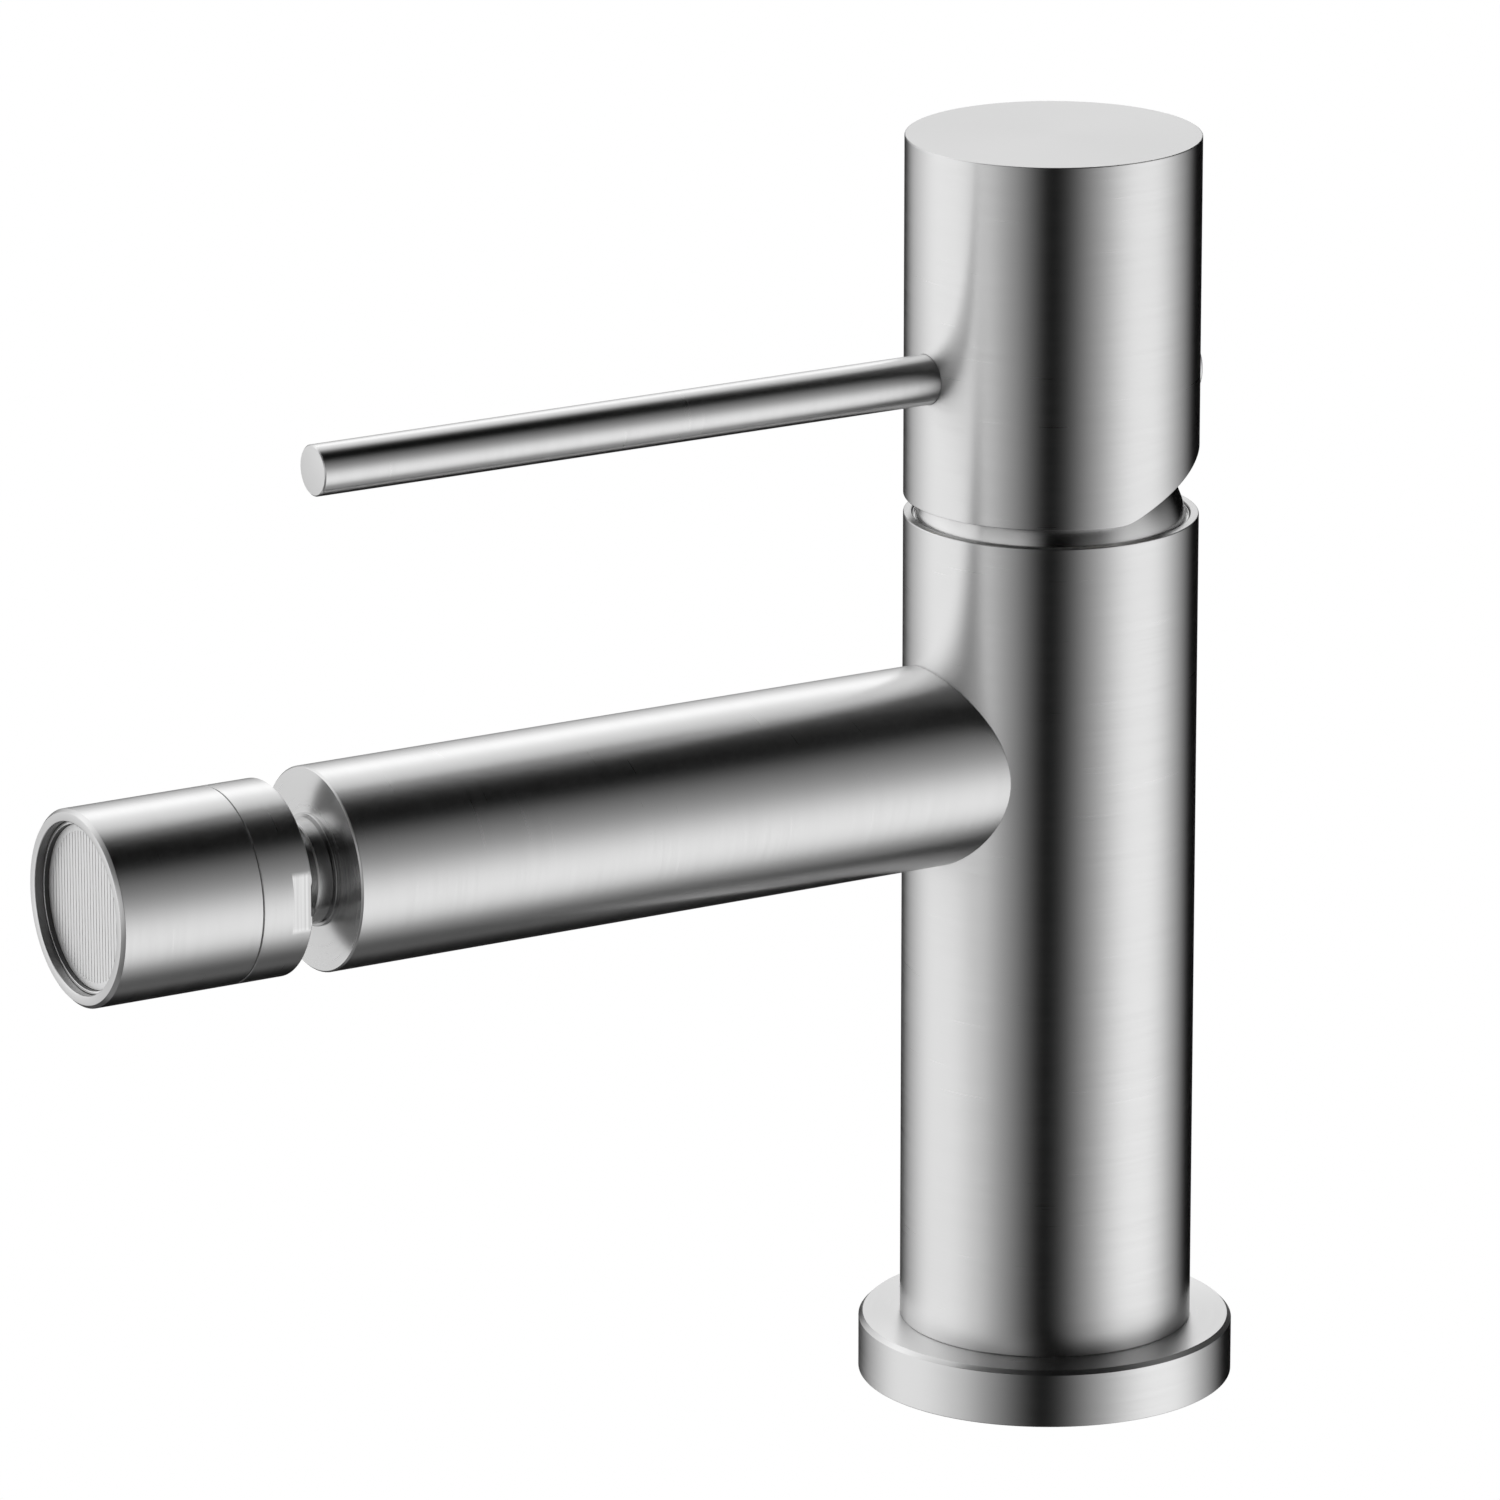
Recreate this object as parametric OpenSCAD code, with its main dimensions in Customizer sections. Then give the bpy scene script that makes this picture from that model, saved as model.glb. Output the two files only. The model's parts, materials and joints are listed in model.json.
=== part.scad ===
// Deck-mounted bidet mixer: a slim round column with a straight spout, a swivelling
// spray nozzle on a ball joint, and a round handle cap with a thin lever rod.
// The origin is the centre of the underside. +Z is up, spout and lever point to -Y.
// The cap tilts about a pin in the cartridge and turns about the column's axis.

/* [Column] */
// Diameter of the column and of the handle cap above it
body_d = 35; // [35:0.5:42]
// Height of the column's top rim above the deck
body_top = 106.9; // [95:0.1:140]
// Thickness of the thin wall round the bonnet at the top rim
rim_wall = 1; // [0.8:0.1:1.2]
// Bevel at the foot of the column, which shows as a hairline on the flange
seam_bevel = 0.2; // [0.1:0.05:0.4]
// Bevel of the column's top rim and of the handle cap
edge_bevel = 0.15; // [0.1:0.05:0.3]

/* [Foot] */
// Diameter of the flange that covers the deck hole
flange_d = 45; // [44:0.5:60]
// Height of the flange
flange_h = 7; // [5:0.5:12]
// Bevel round the flange's upper edge
flange_bevel = 0.5; // [0.2:0.1:1]
// Diameter of the column's spigot inside the flange
spigot_d = 31; // [30:0.2:32]
// Inner diameter of the seal under the flange
foot_seal_d = 35.6; // [34:0.2:37]
// Width of the seal under the flange
foot_seal_w = 2.4; // [1.6:0.2:3]
// Thickness of the seal under the flange
foot_seal_t = 1.4; // [1:0.2:2.4]
// Drill size of the thread for the fixing stud
stud_hole_d = 6.8; // [5:0.1:7]
// Depth of the thread for the fixing stud
stud_hole_l = 16; // [12:1:24]
// Drill size of the threads for the two supply hoses
inlet_d = 9; // [8:0.1:9.2]
// Depth of the threads for the supply hoses
inlet_l = 14; // [10:1:20]
// Distance of each hose thread from the middle plane
inlet_x = 8.5; // [8.4:0.1:8.8]
// Distance of the hose threads behind the column's axis
inlet_y = 4; // [3.6:0.1:4.4]

/* [Spout] */
// Diameter of the spout tube
spout_d = 24; // [22:0.5:26]
// Distance from the column's axis to the spout's end face
spout_reach = 100; // [80:0.5:140]
// Drop from the column's top rim to the spout's axis
spout_drop = 28.8; // [28.6:0.1:50]
// Wall of the spout tube
spout_wall = 2; // [1.5:0.1:2.5]
// Thickness of the solid end that holds the nozzle's thread
spout_end = 10; // [9:0.5:16]
// Bevel round the spout's end face
spout_bevel = 0.3; // [0.1:0.05:0.5]
// Diameter of the waterway from the cartridge into the spout
outlet_d = 6.4; // [5:0.1:6.6]

/* [Bonnet] */
// Height of the bonnet's lip, from its seat up to just below the rim
lip_h = 2; // [1.6:0.1:2.4]
// Drop from the column's rim to the top of the bonnet's lip
lip_drop = 0.2; // [0.1:0.05:0.4]
// Wall of the bonnet's dome
dome_wall = 1.7; // [1.2:0.1:2]
// Diameter of the opening on the dome for the spindle
dome_mouth_d = 22; // [21:0.2:24]
// Thickness of the gasket under the bonnet
bonnet_gasket_t = 0.5; // [0.3:0.1:0.8]

/* [Handle] */
// Gap between the column's rim and the handle cap
cap_gap = 2.2; // [2:0.1:4]
// Height of the handle cap
cap_h = 43.5; // [36:0.5:60]
// Wall of the handle cap
cap_wall = 1.5; // [1.2:0.1:1.5]
// Thickness of the handle cap's top plate
cap_top_t = 3; // [2:0.2:5]
// Tilt of the handle from closed to fully open, in degrees
tilt_max = 22; // [18:1:22]
// Radius of the bend between the cap's front edge and its sloped rear edge
cut_bend_r = 7; // [4:0.5:12]
// Distance in front of the axis where the sloped rear edge would start without its bend
cut_start = 0.3; // [0:0.1:2]
// Height of the core that is pressed into the cap
core_h = 11; // [10:0.5:14]
// Clear height between the pivot and the core
core_rise = 16.9; // [16.8:0.1:18]
// Diameter of the lever rod
rod_d = 6; // [5:0.5:7]
// Distance from the column's axis to the rod's free end
rod_reach = 99.3; // [70:0.1:130]
// Height of the rod's axis above the core's underside
rod_rise = 5.2; // [5:0.1:6]
// Bevel of the rod's free end
rod_bevel = 0.3; // [0.1:0.05:0.5]
// Diameter of the rod's threaded tail in the core
rod_tail_d = 5; // [4:0.2:5]
// Length of the rod's threaded tail
rod_tail_l = 10.2; // [8:0.2:11]
// Diameter of the plug that covers the grub screw
plug_d = 8; // [7:0.2:8.6]
// How far the plug's face stands out from the cap
plug_proud = 1.3; // [0.6:0.1:2]
// Rounding of the plug's face edge
plug_round = 0.4; // [0.2:0.1:0.5]
// Diameter of the plug's stem
plug_stem_d = 6; // [5.4:0.2:6.4]
// Diameter of the grub screw
grub_d = 5; // [4:0.5:5]
// Length of the grub screw
grub_l = 9; // [7:0.5:10]
// Width across the flats of the grub screw's key socket
grub_key = 2.5; // [2:0.5:2.5]
// Height of the grub screw's axis above the core's underside
grub_rise = 2.6; // [2.6:0.1:3.2]

/* [Cartridge] */
// Outer diameter of the cartridge
cart_d = 25; // [24.6:0.1:25.2]
// Wall of the cartridge housing
cart_wall = 1.4; // [1.2:0.1:1.6]
// Thickness of the cartridge base's flange
base_t = 1.8; // [1.5:0.1:2.4]
// Height of the base's plug inside the housing
base_plug_t = 1.4; // [1:0.1:2]
// Thickness of the seal sheet under the fixed disc
sheet_t = 0.8; // [0.6:0.1:1.2]
// Thickness of the fixed ceramic disc
fixed_disc_t = 2.6; // [2.2:0.1:3.2]
// Thickness of the moving ceramic disc
moving_disc_t = 2.4; // [2.2:0.1:3]
// Diameter of the moving ceramic disc
moving_disc_d = 16.4; // [16:0.1:16.8]
// Thickness of the disc carrier
carrier_t = 4; // [3.8:0.1:4.6]
// Diameter of the disc carrier
carrier_d = 17.2; // [16.8:0.1:17.6]
// Thickness of the spindle guide's flange
guide_flange_t = 1.6; // [1.4:0.1:2]
// Diameter of the spindle guide's flange
guide_flange_d = 20.8; // [20:0.1:21]
// Diameter of the spindle guide's neck
guide_d = 16.8; // [16.4:0.1:17]
// Thickness of the housing's shoulder
shoulder_t = 1.4; // [1.2:0.1:2]
// Outer diameter of the housing's neck
neck_d = 19.8; // [19.4:0.1:20.2]
// Height of the housing's neck above its shoulder
neck_h = 6; // [5.8:0.1:6.2]
// Height of the nut that holds the cartridge down
nut_t = 5.6; // [4.8:0.1:5.6]
// Outer diameter of the nut
nut_d = 28.8; // [28:0.1:29]
// Outer diameter of the nut's collar inside the bonnet
nut_collar_d = 26.4; // [26:0.1:27]
// Wall of the nut's collar
nut_collar_wall = 1.2; // [1:0.1:1.3]
// Height of the nut's collar
nut_collar_h = 3.3; // [2.5:0.1:3.4]
// Drop from the column's rim to the nut's upper face
nut_drop = 2.9; // [2.9:0.1:3.2]
// Drop from the column's rim to the pivot of the handle
pivot_drop = 3.8; // [3.6:0.1:4]
// Thickness of the ring that limits the hot side
hot_ring_t = 1.6; // [1.4:0.1:1.8]
// Outer diameter of the ring that limits the hot side
hot_ring_d = 23.6; // [22.8:0.1:23.8]
// Height of the stop lugs
lug_h = 1.1; // [0.8:0.1:1.2]
// Turn of the handle to each side, in degrees
turn_max = 45; // [30:1:50]
// Diameter of the pivot pin
pin_d = 2.5; // [2:0.1:3]
// Width of the square spindle
spindle_w = 6; // [5.6:0.1:6.2]
// Length of the spindle's square end inside the core
spindle_grip = 6; // [5.6:0.1:6.4]
// Diameter of the spindle's pivot boss
spindle_boss_d = 7; // [6.4:0.2:7.4]
// Diameter of the spindle's lower leg
spindle_leg_d = 3.4; // [3:0.1:3.4]
// Diameter of the ball on the spindle's leg
spindle_ball_d = 4.8; // [4.6:0.1:5]

/* [Nozzle] */
// Diameter of the nozzle
nozzle_d = 23; // [23:0.5:26]
// Gap between the spout's end face and the nozzle at rest
nozzle_gap = 5.8; // [5.6:0.1:8]
// Length of the rear ring of the nozzle
ring_l = 6.7; // [6.4:0.1:8]
// Length of the front shell of the nozzle
shell_l = 18; // [17.8:0.1:24]
// Distance from the nozzle's rear face to the centre of the ball
ball_depth = 6.2; // [6:0.1:6.6]
// Diameter of the ball
ball_d = 14.6; // [14.4:0.1:15]
// Wall of the liner between the ball and its seat
liner_wall = 0.56; // [0.4:0.02:0.6]
// Length of the liner along the nozzle
liner_l = 4.6; // [3:0.1:5]
// Swing of the nozzle to each side and up and down, in degrees
nozzle_swing = 15; // [8:1:15]
// Diameter of the ball's stem
stem_d = 9; // [8.6:0.1:9]
// Diameter of the collar on the stem
collar_d = 12.5; // [12:0.1:13]
// Distance from the spout's end face to the collar's front
collar_reach = 2.5; // [2:0.1:2.6]
// Bevels of the collar
collar_bevel = 0.4; // [0.2:0.05:0.5]
// Diameter of the washer under the collar
washer_d = 13.2; // [12.8:0.1:14]
// Thickness of the washer under the collar
washer_t = 0.35; // [0.3:0.05:0.6]
// Diameter of the thread that holds the stem in the spout
stem_thread_d = 9.7; // [9:0.1:10]
// Length of the thread in the spout
stem_thread_l = 8.5; // [7:0.1:8.8]
// Diameter of the waterway through the stem and ball
stem_bore_d = 5.6; // [4:0.1:5.8]
// Width across the flats of the key socket in the ball
stem_key = 6; // [6:0.1:6.2]
// Depth of the two spanner flats on the rear ring
flats_depth = 0.5; // [0.3:0.1:1]
// Length of the spanner flats
flats_l = 2; // [1:0.1:3]
// Rounding of the nozzle's front edge
nozzle_round = 0.42; // [0.2:0.02:0.6]
// Bevel of the nozzle's rear edge
ring_bevel = 0.35; // [0.2:0.05:0.5]
// Bevels at the seam between ring and shell
nozzle_seam = 0.12; // [0.05:0.01:0.2]
// Wall of the nozzle's shell round the ring's threaded spigot
ring_thread_wall = 2; // [1.8:0.1:2.2]
// Length of the ring's threaded spigot
ring_thread_l = 4.5; // [4:0.1:5]
// Thickness of the seal that presses on the ball
ball_seal_t = 2; // [1.4:0.1:2.2]
// Inner diameter of the seal that presses on the ball
ball_seal_d = 7.8; // [7:0.1:8.4]
// Thickness of the web in front of the seal
web_t = 1; // [0.8:0.1:1.4]
// Diameter of the waterway through the web
web_bore_d = 10; // [8:0.2:12]
// Wall of the nozzle's shell round the aerator
nozzle_wall = 1.5; // [1.4:0.1:1.7]
// Thickness of the washer behind the aerator
nozzle_washer_t = 1.2; // [0.8:0.1:1.5]
// Distance from the nozzle's rim to the front edge of the aerator insert
insert_drop = 1; // [0.5:0.1:1.5]
// Distance from the nozzle's rim to the outlet screen
screen_drop = 1.6; // [1.6:0.1:2.5]
// Thickness of the outlet screen
screen_t = 0.5; // [0.4:0.1:0.8]
// Width of the slits in the outlet screen
slit_w = 0.1; // [0.08:0.01:0.2]
// Distance between neighbouring slits
slit_pitch = 0.7; // [0.6:0.05:1.2]
// Wall of the aerator insert round the screen
insert_lip = 0.35; // [0.3:0.05:0.5]
// Wall of the aerator insert behind the screen
insert_wall = 1.15; // [1:0.05:1.5]
// Thickness of the insert's jet plate
jet_plate_t = 1; // [0.8:0.1:1.2]
// Diameter of the jets
jet_d = 1; // [0.8:0.1:1.2]
// Number of jets
jet_n = 12; // [8:1:16]
// Length of the flow straightener
straightener_l = 5.4; // [4:0.1:5.4]
// Diameter of the channels in the flow straightener
channel_d = 2.4; // [2:0.1:2.6]

/* [Hidden] */
$fn = 96;

// Finishes
steel = [0.74, 0.74, 0.73];
bright_steel = [0.82, 0.82, 0.82];
brass = [0.80, 0.66, 0.36];
ceramic = [0.93, 0.92, 0.88];
white_plastic = [0.90, 0.90, 0.88];
grey_plastic = [0.55, 0.56, 0.58];
red_plastic = [0.75, 0.16, 0.13];
black_rubber = [0.10, 0.10, 0.10];

// Fits and common clearances
cut = 1;
play = 0.05;
slip = 0.1;
rest_gap = 0.3;

// Column, from the top rim down
body_r = body_d / 2;
lip_bore_r = body_r - rim_wall;
lip_r = lip_bore_r - slip;
dome_r = lip_r;
pivot_z = body_top - pivot_drop;
lip_top = body_top - lip_drop;
lip_z = lip_top - lip_h;
ledge_z = lip_z - bonnet_gasket_t;
nut_top = body_top - nut_drop;
nut_z = nut_top - nut_t;
nut_bore_r = nut_d / 2 + play;
nut_inner_r = neck_d / 2 + slip;

// Cartridge, from the nut down
shoulder_z = nut_z - shoulder_t;
guide_top = nut_top + rest_gap + hot_ring_t + rest_gap + lug_h;
guide_z = shoulder_z - slip - guide_flange_t;
carrier_z = guide_z - slip - carrier_t;
moving_z = carrier_z - moving_disc_t;
fixed_z = moving_z - fixed_disc_t;
sheet_z = fixed_z - sheet_t;
base_top_z = sheet_z;
base_z = base_top_z - base_plug_t - base_t;
seat_gap = 0.2;
seat_z = base_z - seat_gap;
seat_r = cart_d / 2 + slip;
cart_r = cart_d / 2;
cart_inner_r = cart_r - cart_wall;
neck_top = nut_z + neck_h;
hot_ring_z = neck_top;

// Spindle and the travel of the ceramic disc
ball_z = carrier_z + 2 * slip + spindle_ball_d / 2;
arm = pivot_z - ball_z;
disc_travel = arm * sin(tilt_max);
disc_y = disc_travel / 2;
slot_half = spindle_ball_d / 2 + slip;
guide_slot_w = spindle_w + 2 * play;
leg_sweep = (pivot_z - guide_z) * tan(tilt_max) + spindle_leg_d / 2 / cos(tilt_max);
top_sweep = (guide_top - pivot_z) * tan(tilt_max) + spindle_w / 2 / cos(tilt_max);
ball_sweep = disc_travel + spindle_ball_d / 2;
guide_slot_half = max(leg_sweep, top_sweep, ball_sweep) + rest_gap;

// Stops of the handle's turn, in degrees
stop_tab = 24;
stop_play = 1;

// Waterways between the cartridge and the foot
port_x = 4.6;
port_y = 5;
port_r = 2.1;
outlet_y = 5.6;
outlet_port_r = 2.4;
feed_r = 2.3;
seal_inner_r = 2.6;
seal_outer_r = 3.7;
seal_t = 1.2;
peg_x = 9.4;
peg_y = 2.5;
peg_r = 1.4;
peg_l = 2;
key_x = 7;
key_w = 1.6;
key_h = 0.8;
key_l = 8;
notch_r = 1.2;
carrier_peg_x = 6.6;
carrier_peg_r = 0.9;
carrier_peg_l = 0.7;

// Spout
spout_r = spout_d / 2;
spout_z = body_top - spout_drop;
spout_bore_r = spout_r - spout_wall;
waterway_drop = 1.9;

// Handle
cap_z = body_top + cap_gap;
cap_top = cap_z + cap_h;
cap_inner_r = body_r - cap_wall;
core_z = pivot_z + core_rise;
core_r = cap_inner_r - slip;
rod_z = core_z + rod_rise;
rod_r = rod_d / 2;
grub_z = core_z + grub_rise;
spindle_top = core_z + spindle_grip;
socket_w = spindle_w + 2 * play;
tail_bore_r = rod_tail_d / 2 + play;
grub_bore_r = grub_d / 2 + play;
grub_y = socket_w / 2;
plug_face_y = body_r + plug_proud;
plug_stem_r = plug_stem_d / 2;
plug_stem_l = 4;

// Nozzle, as distances in front of the column's axis
ring_y = spout_reach + nozzle_gap;
seam_y = ring_y + ring_l;
face_y = seam_y + shell_l;
ball_y = ring_y + ball_depth;
nozzle_r = nozzle_d / 2;
ball_r = ball_d / 2;
swivel_play = 0.04;
liner_in_r = ball_r + swivel_play;
liner_out_r = liner_in_r + liner_wall;
seat_sphere_r = liner_out_r + swivel_play;
swing_both = acos(pow(cos(nozzle_swing), 2));
ring_thread_r = nozzle_r - ring_thread_wall;
ring_spigot_y = seam_y + ring_thread_l;
shell_thread_y = ring_spigot_y + 0.2;
seal_y = ring_spigot_y - 0.4;
seal_front_y = seal_y + ball_seal_t;
chamber_y = seal_front_y + web_t;
chamber_r = nozzle_r - nozzle_wall;
insert_r = chamber_r - play;
insert_y = chamber_y + nozzle_washer_t;
insert_front_y = face_y - insert_drop;
screen_y = face_y - screen_drop;
screen_back_y = screen_y - screen_t;
insert_bore_r = insert_r - insert_wall;
screen_r = insert_r - insert_lip - play;
jet_ring_r = 4.5;
collar_y = spout_reach + washer_t;
collar_front_y = spout_reach + collar_reach;
stem_key_l = 4;
ball_flat = 0.8;

// Turns a solid that is drawn upwards so that it points along the spout
module along_spout() {
    translate([0, 0, spout_z]) rotate([90, 0, 0]) children();
}

// Turns a solid that is drawn upwards so that it points forwards or backwards at a height
module forwards(z) {
    translate([0, 0, z]) rotate([90, 0, 0]) children();
}
module backwards(z) {
    translate([0, 0, z]) rotate([-90, 0, 0]) children();
}

// A straight round piece from one height to another
module round_bar(r, z0, z1) {
    translate([0, 0, z0]) cylinder(r = r, h = z1 - z0);
}

// A round piece with bevelled ends
module bevelled_bar(r, z0, z1, low, high) {
    rotate_extrude() polygon([
        [0, z0],
        [r - low, z0],
        [r, z0 + low],
        [r, z1 - high],
        [r - high, z1],
        [0, z1]
    ]);
}

// A flat ring
module flat_ring(r_out, r_in, z0, z1) {
    difference() {
        round_bar(r_out, z0, z1);
        round_bar(r_in, z0 - cut, z1 + cut);
    }
}

// Copies a port to its left and right place
module left_and_right(x, y) {
    for (side = [-1, 1]) translate([side * x, y, 0]) children();
}

// A wedge with its point on the axis, centred on an angle
module wedge(middle, spread, reach, z0, z1) {
    half = spread / 2;
    translate([0, 0, z0]) linear_extrude(z1 - z0) polygon([
        [0, 0],
        [reach * cos(middle - half), reach * sin(middle - half)],
        [reach * cos(middle), reach * sin(middle)],
        [reach * cos(middle + half), reach * sin(middle + half)]
    ]);
}

// Solid column, drilled for the hoses, the stud, the cartridge and the outlet
module body_column() {
    waterway_z = spout_z - waterway_drop;
    color(steel) difference() {
        union() {
            bevelled_bar(body_r, flange_h, body_top, seam_bevel, edge_bevel);
            round_bar(spigot_d / 2, 0, flange_h + cut);
        }
        round_bar(seat_r, seat_z, nut_z + cut);
        round_bar(nut_bore_r, nut_z, ledge_z + cut);
        round_bar(lip_bore_r, ledge_z, body_top + cut);
        round_bar(stud_hole_d / 2, -cut, stud_hole_l);
        left_and_right(inlet_x, inlet_y) round_bar(inlet_d / 2, -cut, inlet_l);
        left_and_right(port_x, port_y) round_bar(feed_r, inlet_l - cut, seat_z + cut);
        translate([0, -outlet_y, 0]) round_bar(outlet_port_r, waterway_z, seat_z + cut);
        forwards(waterway_z) round_bar(outlet_d / 2, outlet_y - outlet_port_r - cut, body_d);
        left_and_right(peg_x, -peg_y) round_bar(peg_r + slip, seat_z - peg_l - slip, seat_z + cut);
    }
}

// Flange that covers the deck hole, with a groove for its seal
module base_flange() {
    color(steel) difference() {
        bevelled_bar(flange_d / 2, 0, flange_h, 0, flange_bevel);
        round_bar(spigot_d / 2 + slip, -cut, flange_h + cut);
        flat_ring(foot_seal_d / 2 + foot_seal_w + play, foot_seal_d / 2 - play, -cut, foot_seal_t + slip);
    }
}

module base_seal() {
    color(black_rubber)
        flat_ring(foot_seal_d / 2 + foot_seal_w, foot_seal_d / 2, 0, foot_seal_t);
}

// Spout tube, saddled onto the column, with a solid front end
module spout_tube() {
    color(steel) difference() {
        along_spout() difference() {
            bevelled_bar(spout_r, 0, spout_reach, 0, spout_bevel);
            round_bar(spout_bore_r, -cut, spout_reach - spout_end);
            round_bar(stem_thread_d / 2 + play, 0, spout_reach + cut);
        }
        round_bar(body_r, 0, body_top);
    }
}

// Ports through a cartridge piece: two inlets at the rear and the outlet in front
module ports(z0, z1) {
    left_and_right(port_x, port_y) round_bar(port_r, z0, z1);
    translate([0, -outlet_y, 0]) round_bar(outlet_port_r, z0, z1);
}

module cartridge_base() {
    color(white_plastic) difference() {
        union() {
            round_bar(cart_r, base_z, base_z + base_t);
            round_bar(cart_inner_r - play, base_z, base_top_z);
            left_and_right(peg_x, -peg_y) round_bar(peg_r, base_z - peg_l, base_z + base_t);
            left_and_right(cart_inner_r, 0) round_bar(notch_r - slip, base_z, moving_z - slip);
        }
        ports(base_z - cut, base_top_z + cut);
        left_and_right(port_x, port_y) round_bar(seal_outer_r + play, base_z - cut, seat_z + seal_t);
        translate([0, -outlet_y, 0]) round_bar(seal_outer_r + play, base_z - cut, seat_z + seal_t);
        flat_ring(cart_r + cut, cart_inner_r - play, base_z + base_t, moving_z);
    }
}

// Three rings that seal the cartridge's ports on the column's floor
module cartridge_port_seals() {
    color(black_rubber) {
        left_and_right(port_x, port_y) flat_ring(seal_outer_r, seal_inner_r, seat_z, seat_z + seal_t);
        translate([0, -outlet_y, 0]) flat_ring(seal_outer_r, seal_inner_r, seat_z, seat_z + seal_t);
    }
}

module cartridge_housing() {
    color(grey_plastic) difference() {
        union() {
            round_bar(cart_r, base_z + base_t, nut_z);
            round_bar(neck_d / 2, nut_z - cut, neck_top);
        }
        round_bar(cart_inner_r, base_z + base_t - cut, shoulder_z);
        round_bar(guide_d / 2 + play, shoulder_z - cut, neck_top + cut);
    }
}

// Notches beside the fixed pieces, which the base's pegs fill
module side_notches(z0, z1) {
    left_and_right(cart_inner_r, 0) round_bar(notch_r, z0, z1);
}

module disc_seal_sheet() {
    color(black_rubber) difference() {
        round_bar(cart_inner_r - slip, sheet_z, fixed_z);
        ports(sheet_z - cut, fixed_z + cut);
        side_notches(sheet_z - cut, fixed_z + cut);
    }
}

module fixed_ceramic_disc() {
    color(ceramic) difference() {
        round_bar(cart_inner_r - slip, fixed_z, moving_z);
        ports(fixed_z - cut, moving_z + cut);
        side_notches(fixed_z - cut, moving_z + cut);
    }
}

// Disc that slides over the ports, with a pocket in its underside
module moving_ceramic_disc() {
    pocket_front = 4.6;
    pocket_rear = 7.3;
    pocket_half = 6.2;
    pocket_t = 1.3;
    pocket_rim = 1;
    color(ceramic) translate([0, disc_y, 0]) difference() {
        round_bar(moving_disc_d / 2, moving_z, carrier_z);
        intersection() {
            round_bar(moving_disc_d / 2 - pocket_rim, moving_z - cut, moving_z + pocket_t);
            translate([-pocket_half, -pocket_front, moving_z - cut])
                cube([2 * pocket_half, pocket_front + pocket_rear, pocket_t + cut]);
        }
        left_and_right(carrier_peg_x, 0)
            round_bar(carrier_peg_r + play, carrier_z - carrier_peg_l - slip, carrier_z + cut);
    }
}

// Carrier that the spindle's ball pushes, keyed to the guide and to the moving disc
module disc_carrier() {
    color(white_plastic) difference() {
        translate([0, disc_y, 0]) union() {
            round_bar(carrier_d / 2, carrier_z, carrier_z + carrier_t);
            left_and_right(carrier_peg_x, 0)
                round_bar(carrier_peg_r, carrier_z - carrier_peg_l, carrier_z + cut);
            left_and_right(key_x, 0) translate([-key_w / 2, -key_l / 2, carrier_z + cut])
                cube([key_w, key_l, carrier_t - cut + key_h]);
        }
        translate([-spindle_ball_d / 2 - play, -slot_half, carrier_z + slip])
            cube([spindle_ball_d + 2 * play, 2 * slot_half, carrier_t + 2 * cut]);
    }
}

// Guide that turns in the housing's neck and carries the pivot pin
module spindle_guide() {
    key_run = disc_travel + key_l / 2 + rest_gap;
    tab_reach = 10.2;
    color(grey_plastic) difference() {
        union() {
            round_bar(guide_flange_d / 2, guide_z, shoulder_z - slip);
            round_bar(guide_d / 2, guide_z, guide_top);
            intersection() {
                round_bar(tab_reach, hot_ring_z + hot_ring_t + slip, guide_top);
                wedge(90, stop_tab, 2 * tab_reach, hot_ring_z, guide_top + cut);
            }
        }
        translate([-guide_slot_w / 2, -guide_slot_half, guide_z - cut])
            cube([guide_slot_w, 2 * guide_slot_half, guide_top - guide_z + 2 * cut]);
        left_and_right(key_x, 0) translate([-key_w / 2 - slip, -key_run, guide_z - cut])
            cube([key_w + 2 * slip, 2 * key_run, key_h + cut]);
        translate([0, 0, pivot_z]) rotate([0, 90, 0]) round_bar(pin_d / 2, -cart_d, cart_d);
    }
}

module pivot_pin() {
    color(bright_steel) translate([0, 0, pivot_z]) rotate([0, 90, 0])
        bevelled_bar(pin_d / 2, -guide_d / 2 + slip, guide_d / 2 - slip, slip, slip);
}

// Spindle: square above the pivot, round leg and ball below it
module spindle() {
    color(brass) difference() {
        union() {
            translate([-spindle_w / 2, -spindle_w / 2, pivot_z])
                cube([spindle_w, spindle_w, spindle_top - pivot_z]);
            translate([0, 0, pivot_z]) rotate([0, 90, 0])
                round_bar(spindle_boss_d / 2, -spindle_w / 2, spindle_w / 2);
            round_bar(spindle_leg_d / 2, ball_z, pivot_z);
            translate([0, 0, ball_z]) sphere(d = spindle_ball_d);
        }
        translate([0, 0, pivot_z]) rotate([0, 90, 0]) round_bar(pin_d / 2 + play, -cart_d, cart_d);
    }
}

// Nut that clamps the cartridge, with a slotted collar that holds the bonnet
module cartridge_nut() {
    collar_r = nut_collar_d / 2;
    collar_top = nut_top + nut_collar_h;
    slot_w = 3;
    color(brass) difference() {
        union() {
            round_bar(nut_d / 2, nut_z, nut_top);
            flat_ring(collar_r, collar_r - nut_collar_wall, nut_top - cut, collar_top);
        }
        round_bar(nut_inner_r, nut_z - cut, nut_top + cut);
        for (turn = [0, 90]) rotate([0, 0, turn])
            translate([-slot_w / 2, -nut_d, nut_top + cut]) cube([slot_w, 2 * nut_d, nut_collar_h]);
    }
}

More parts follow.
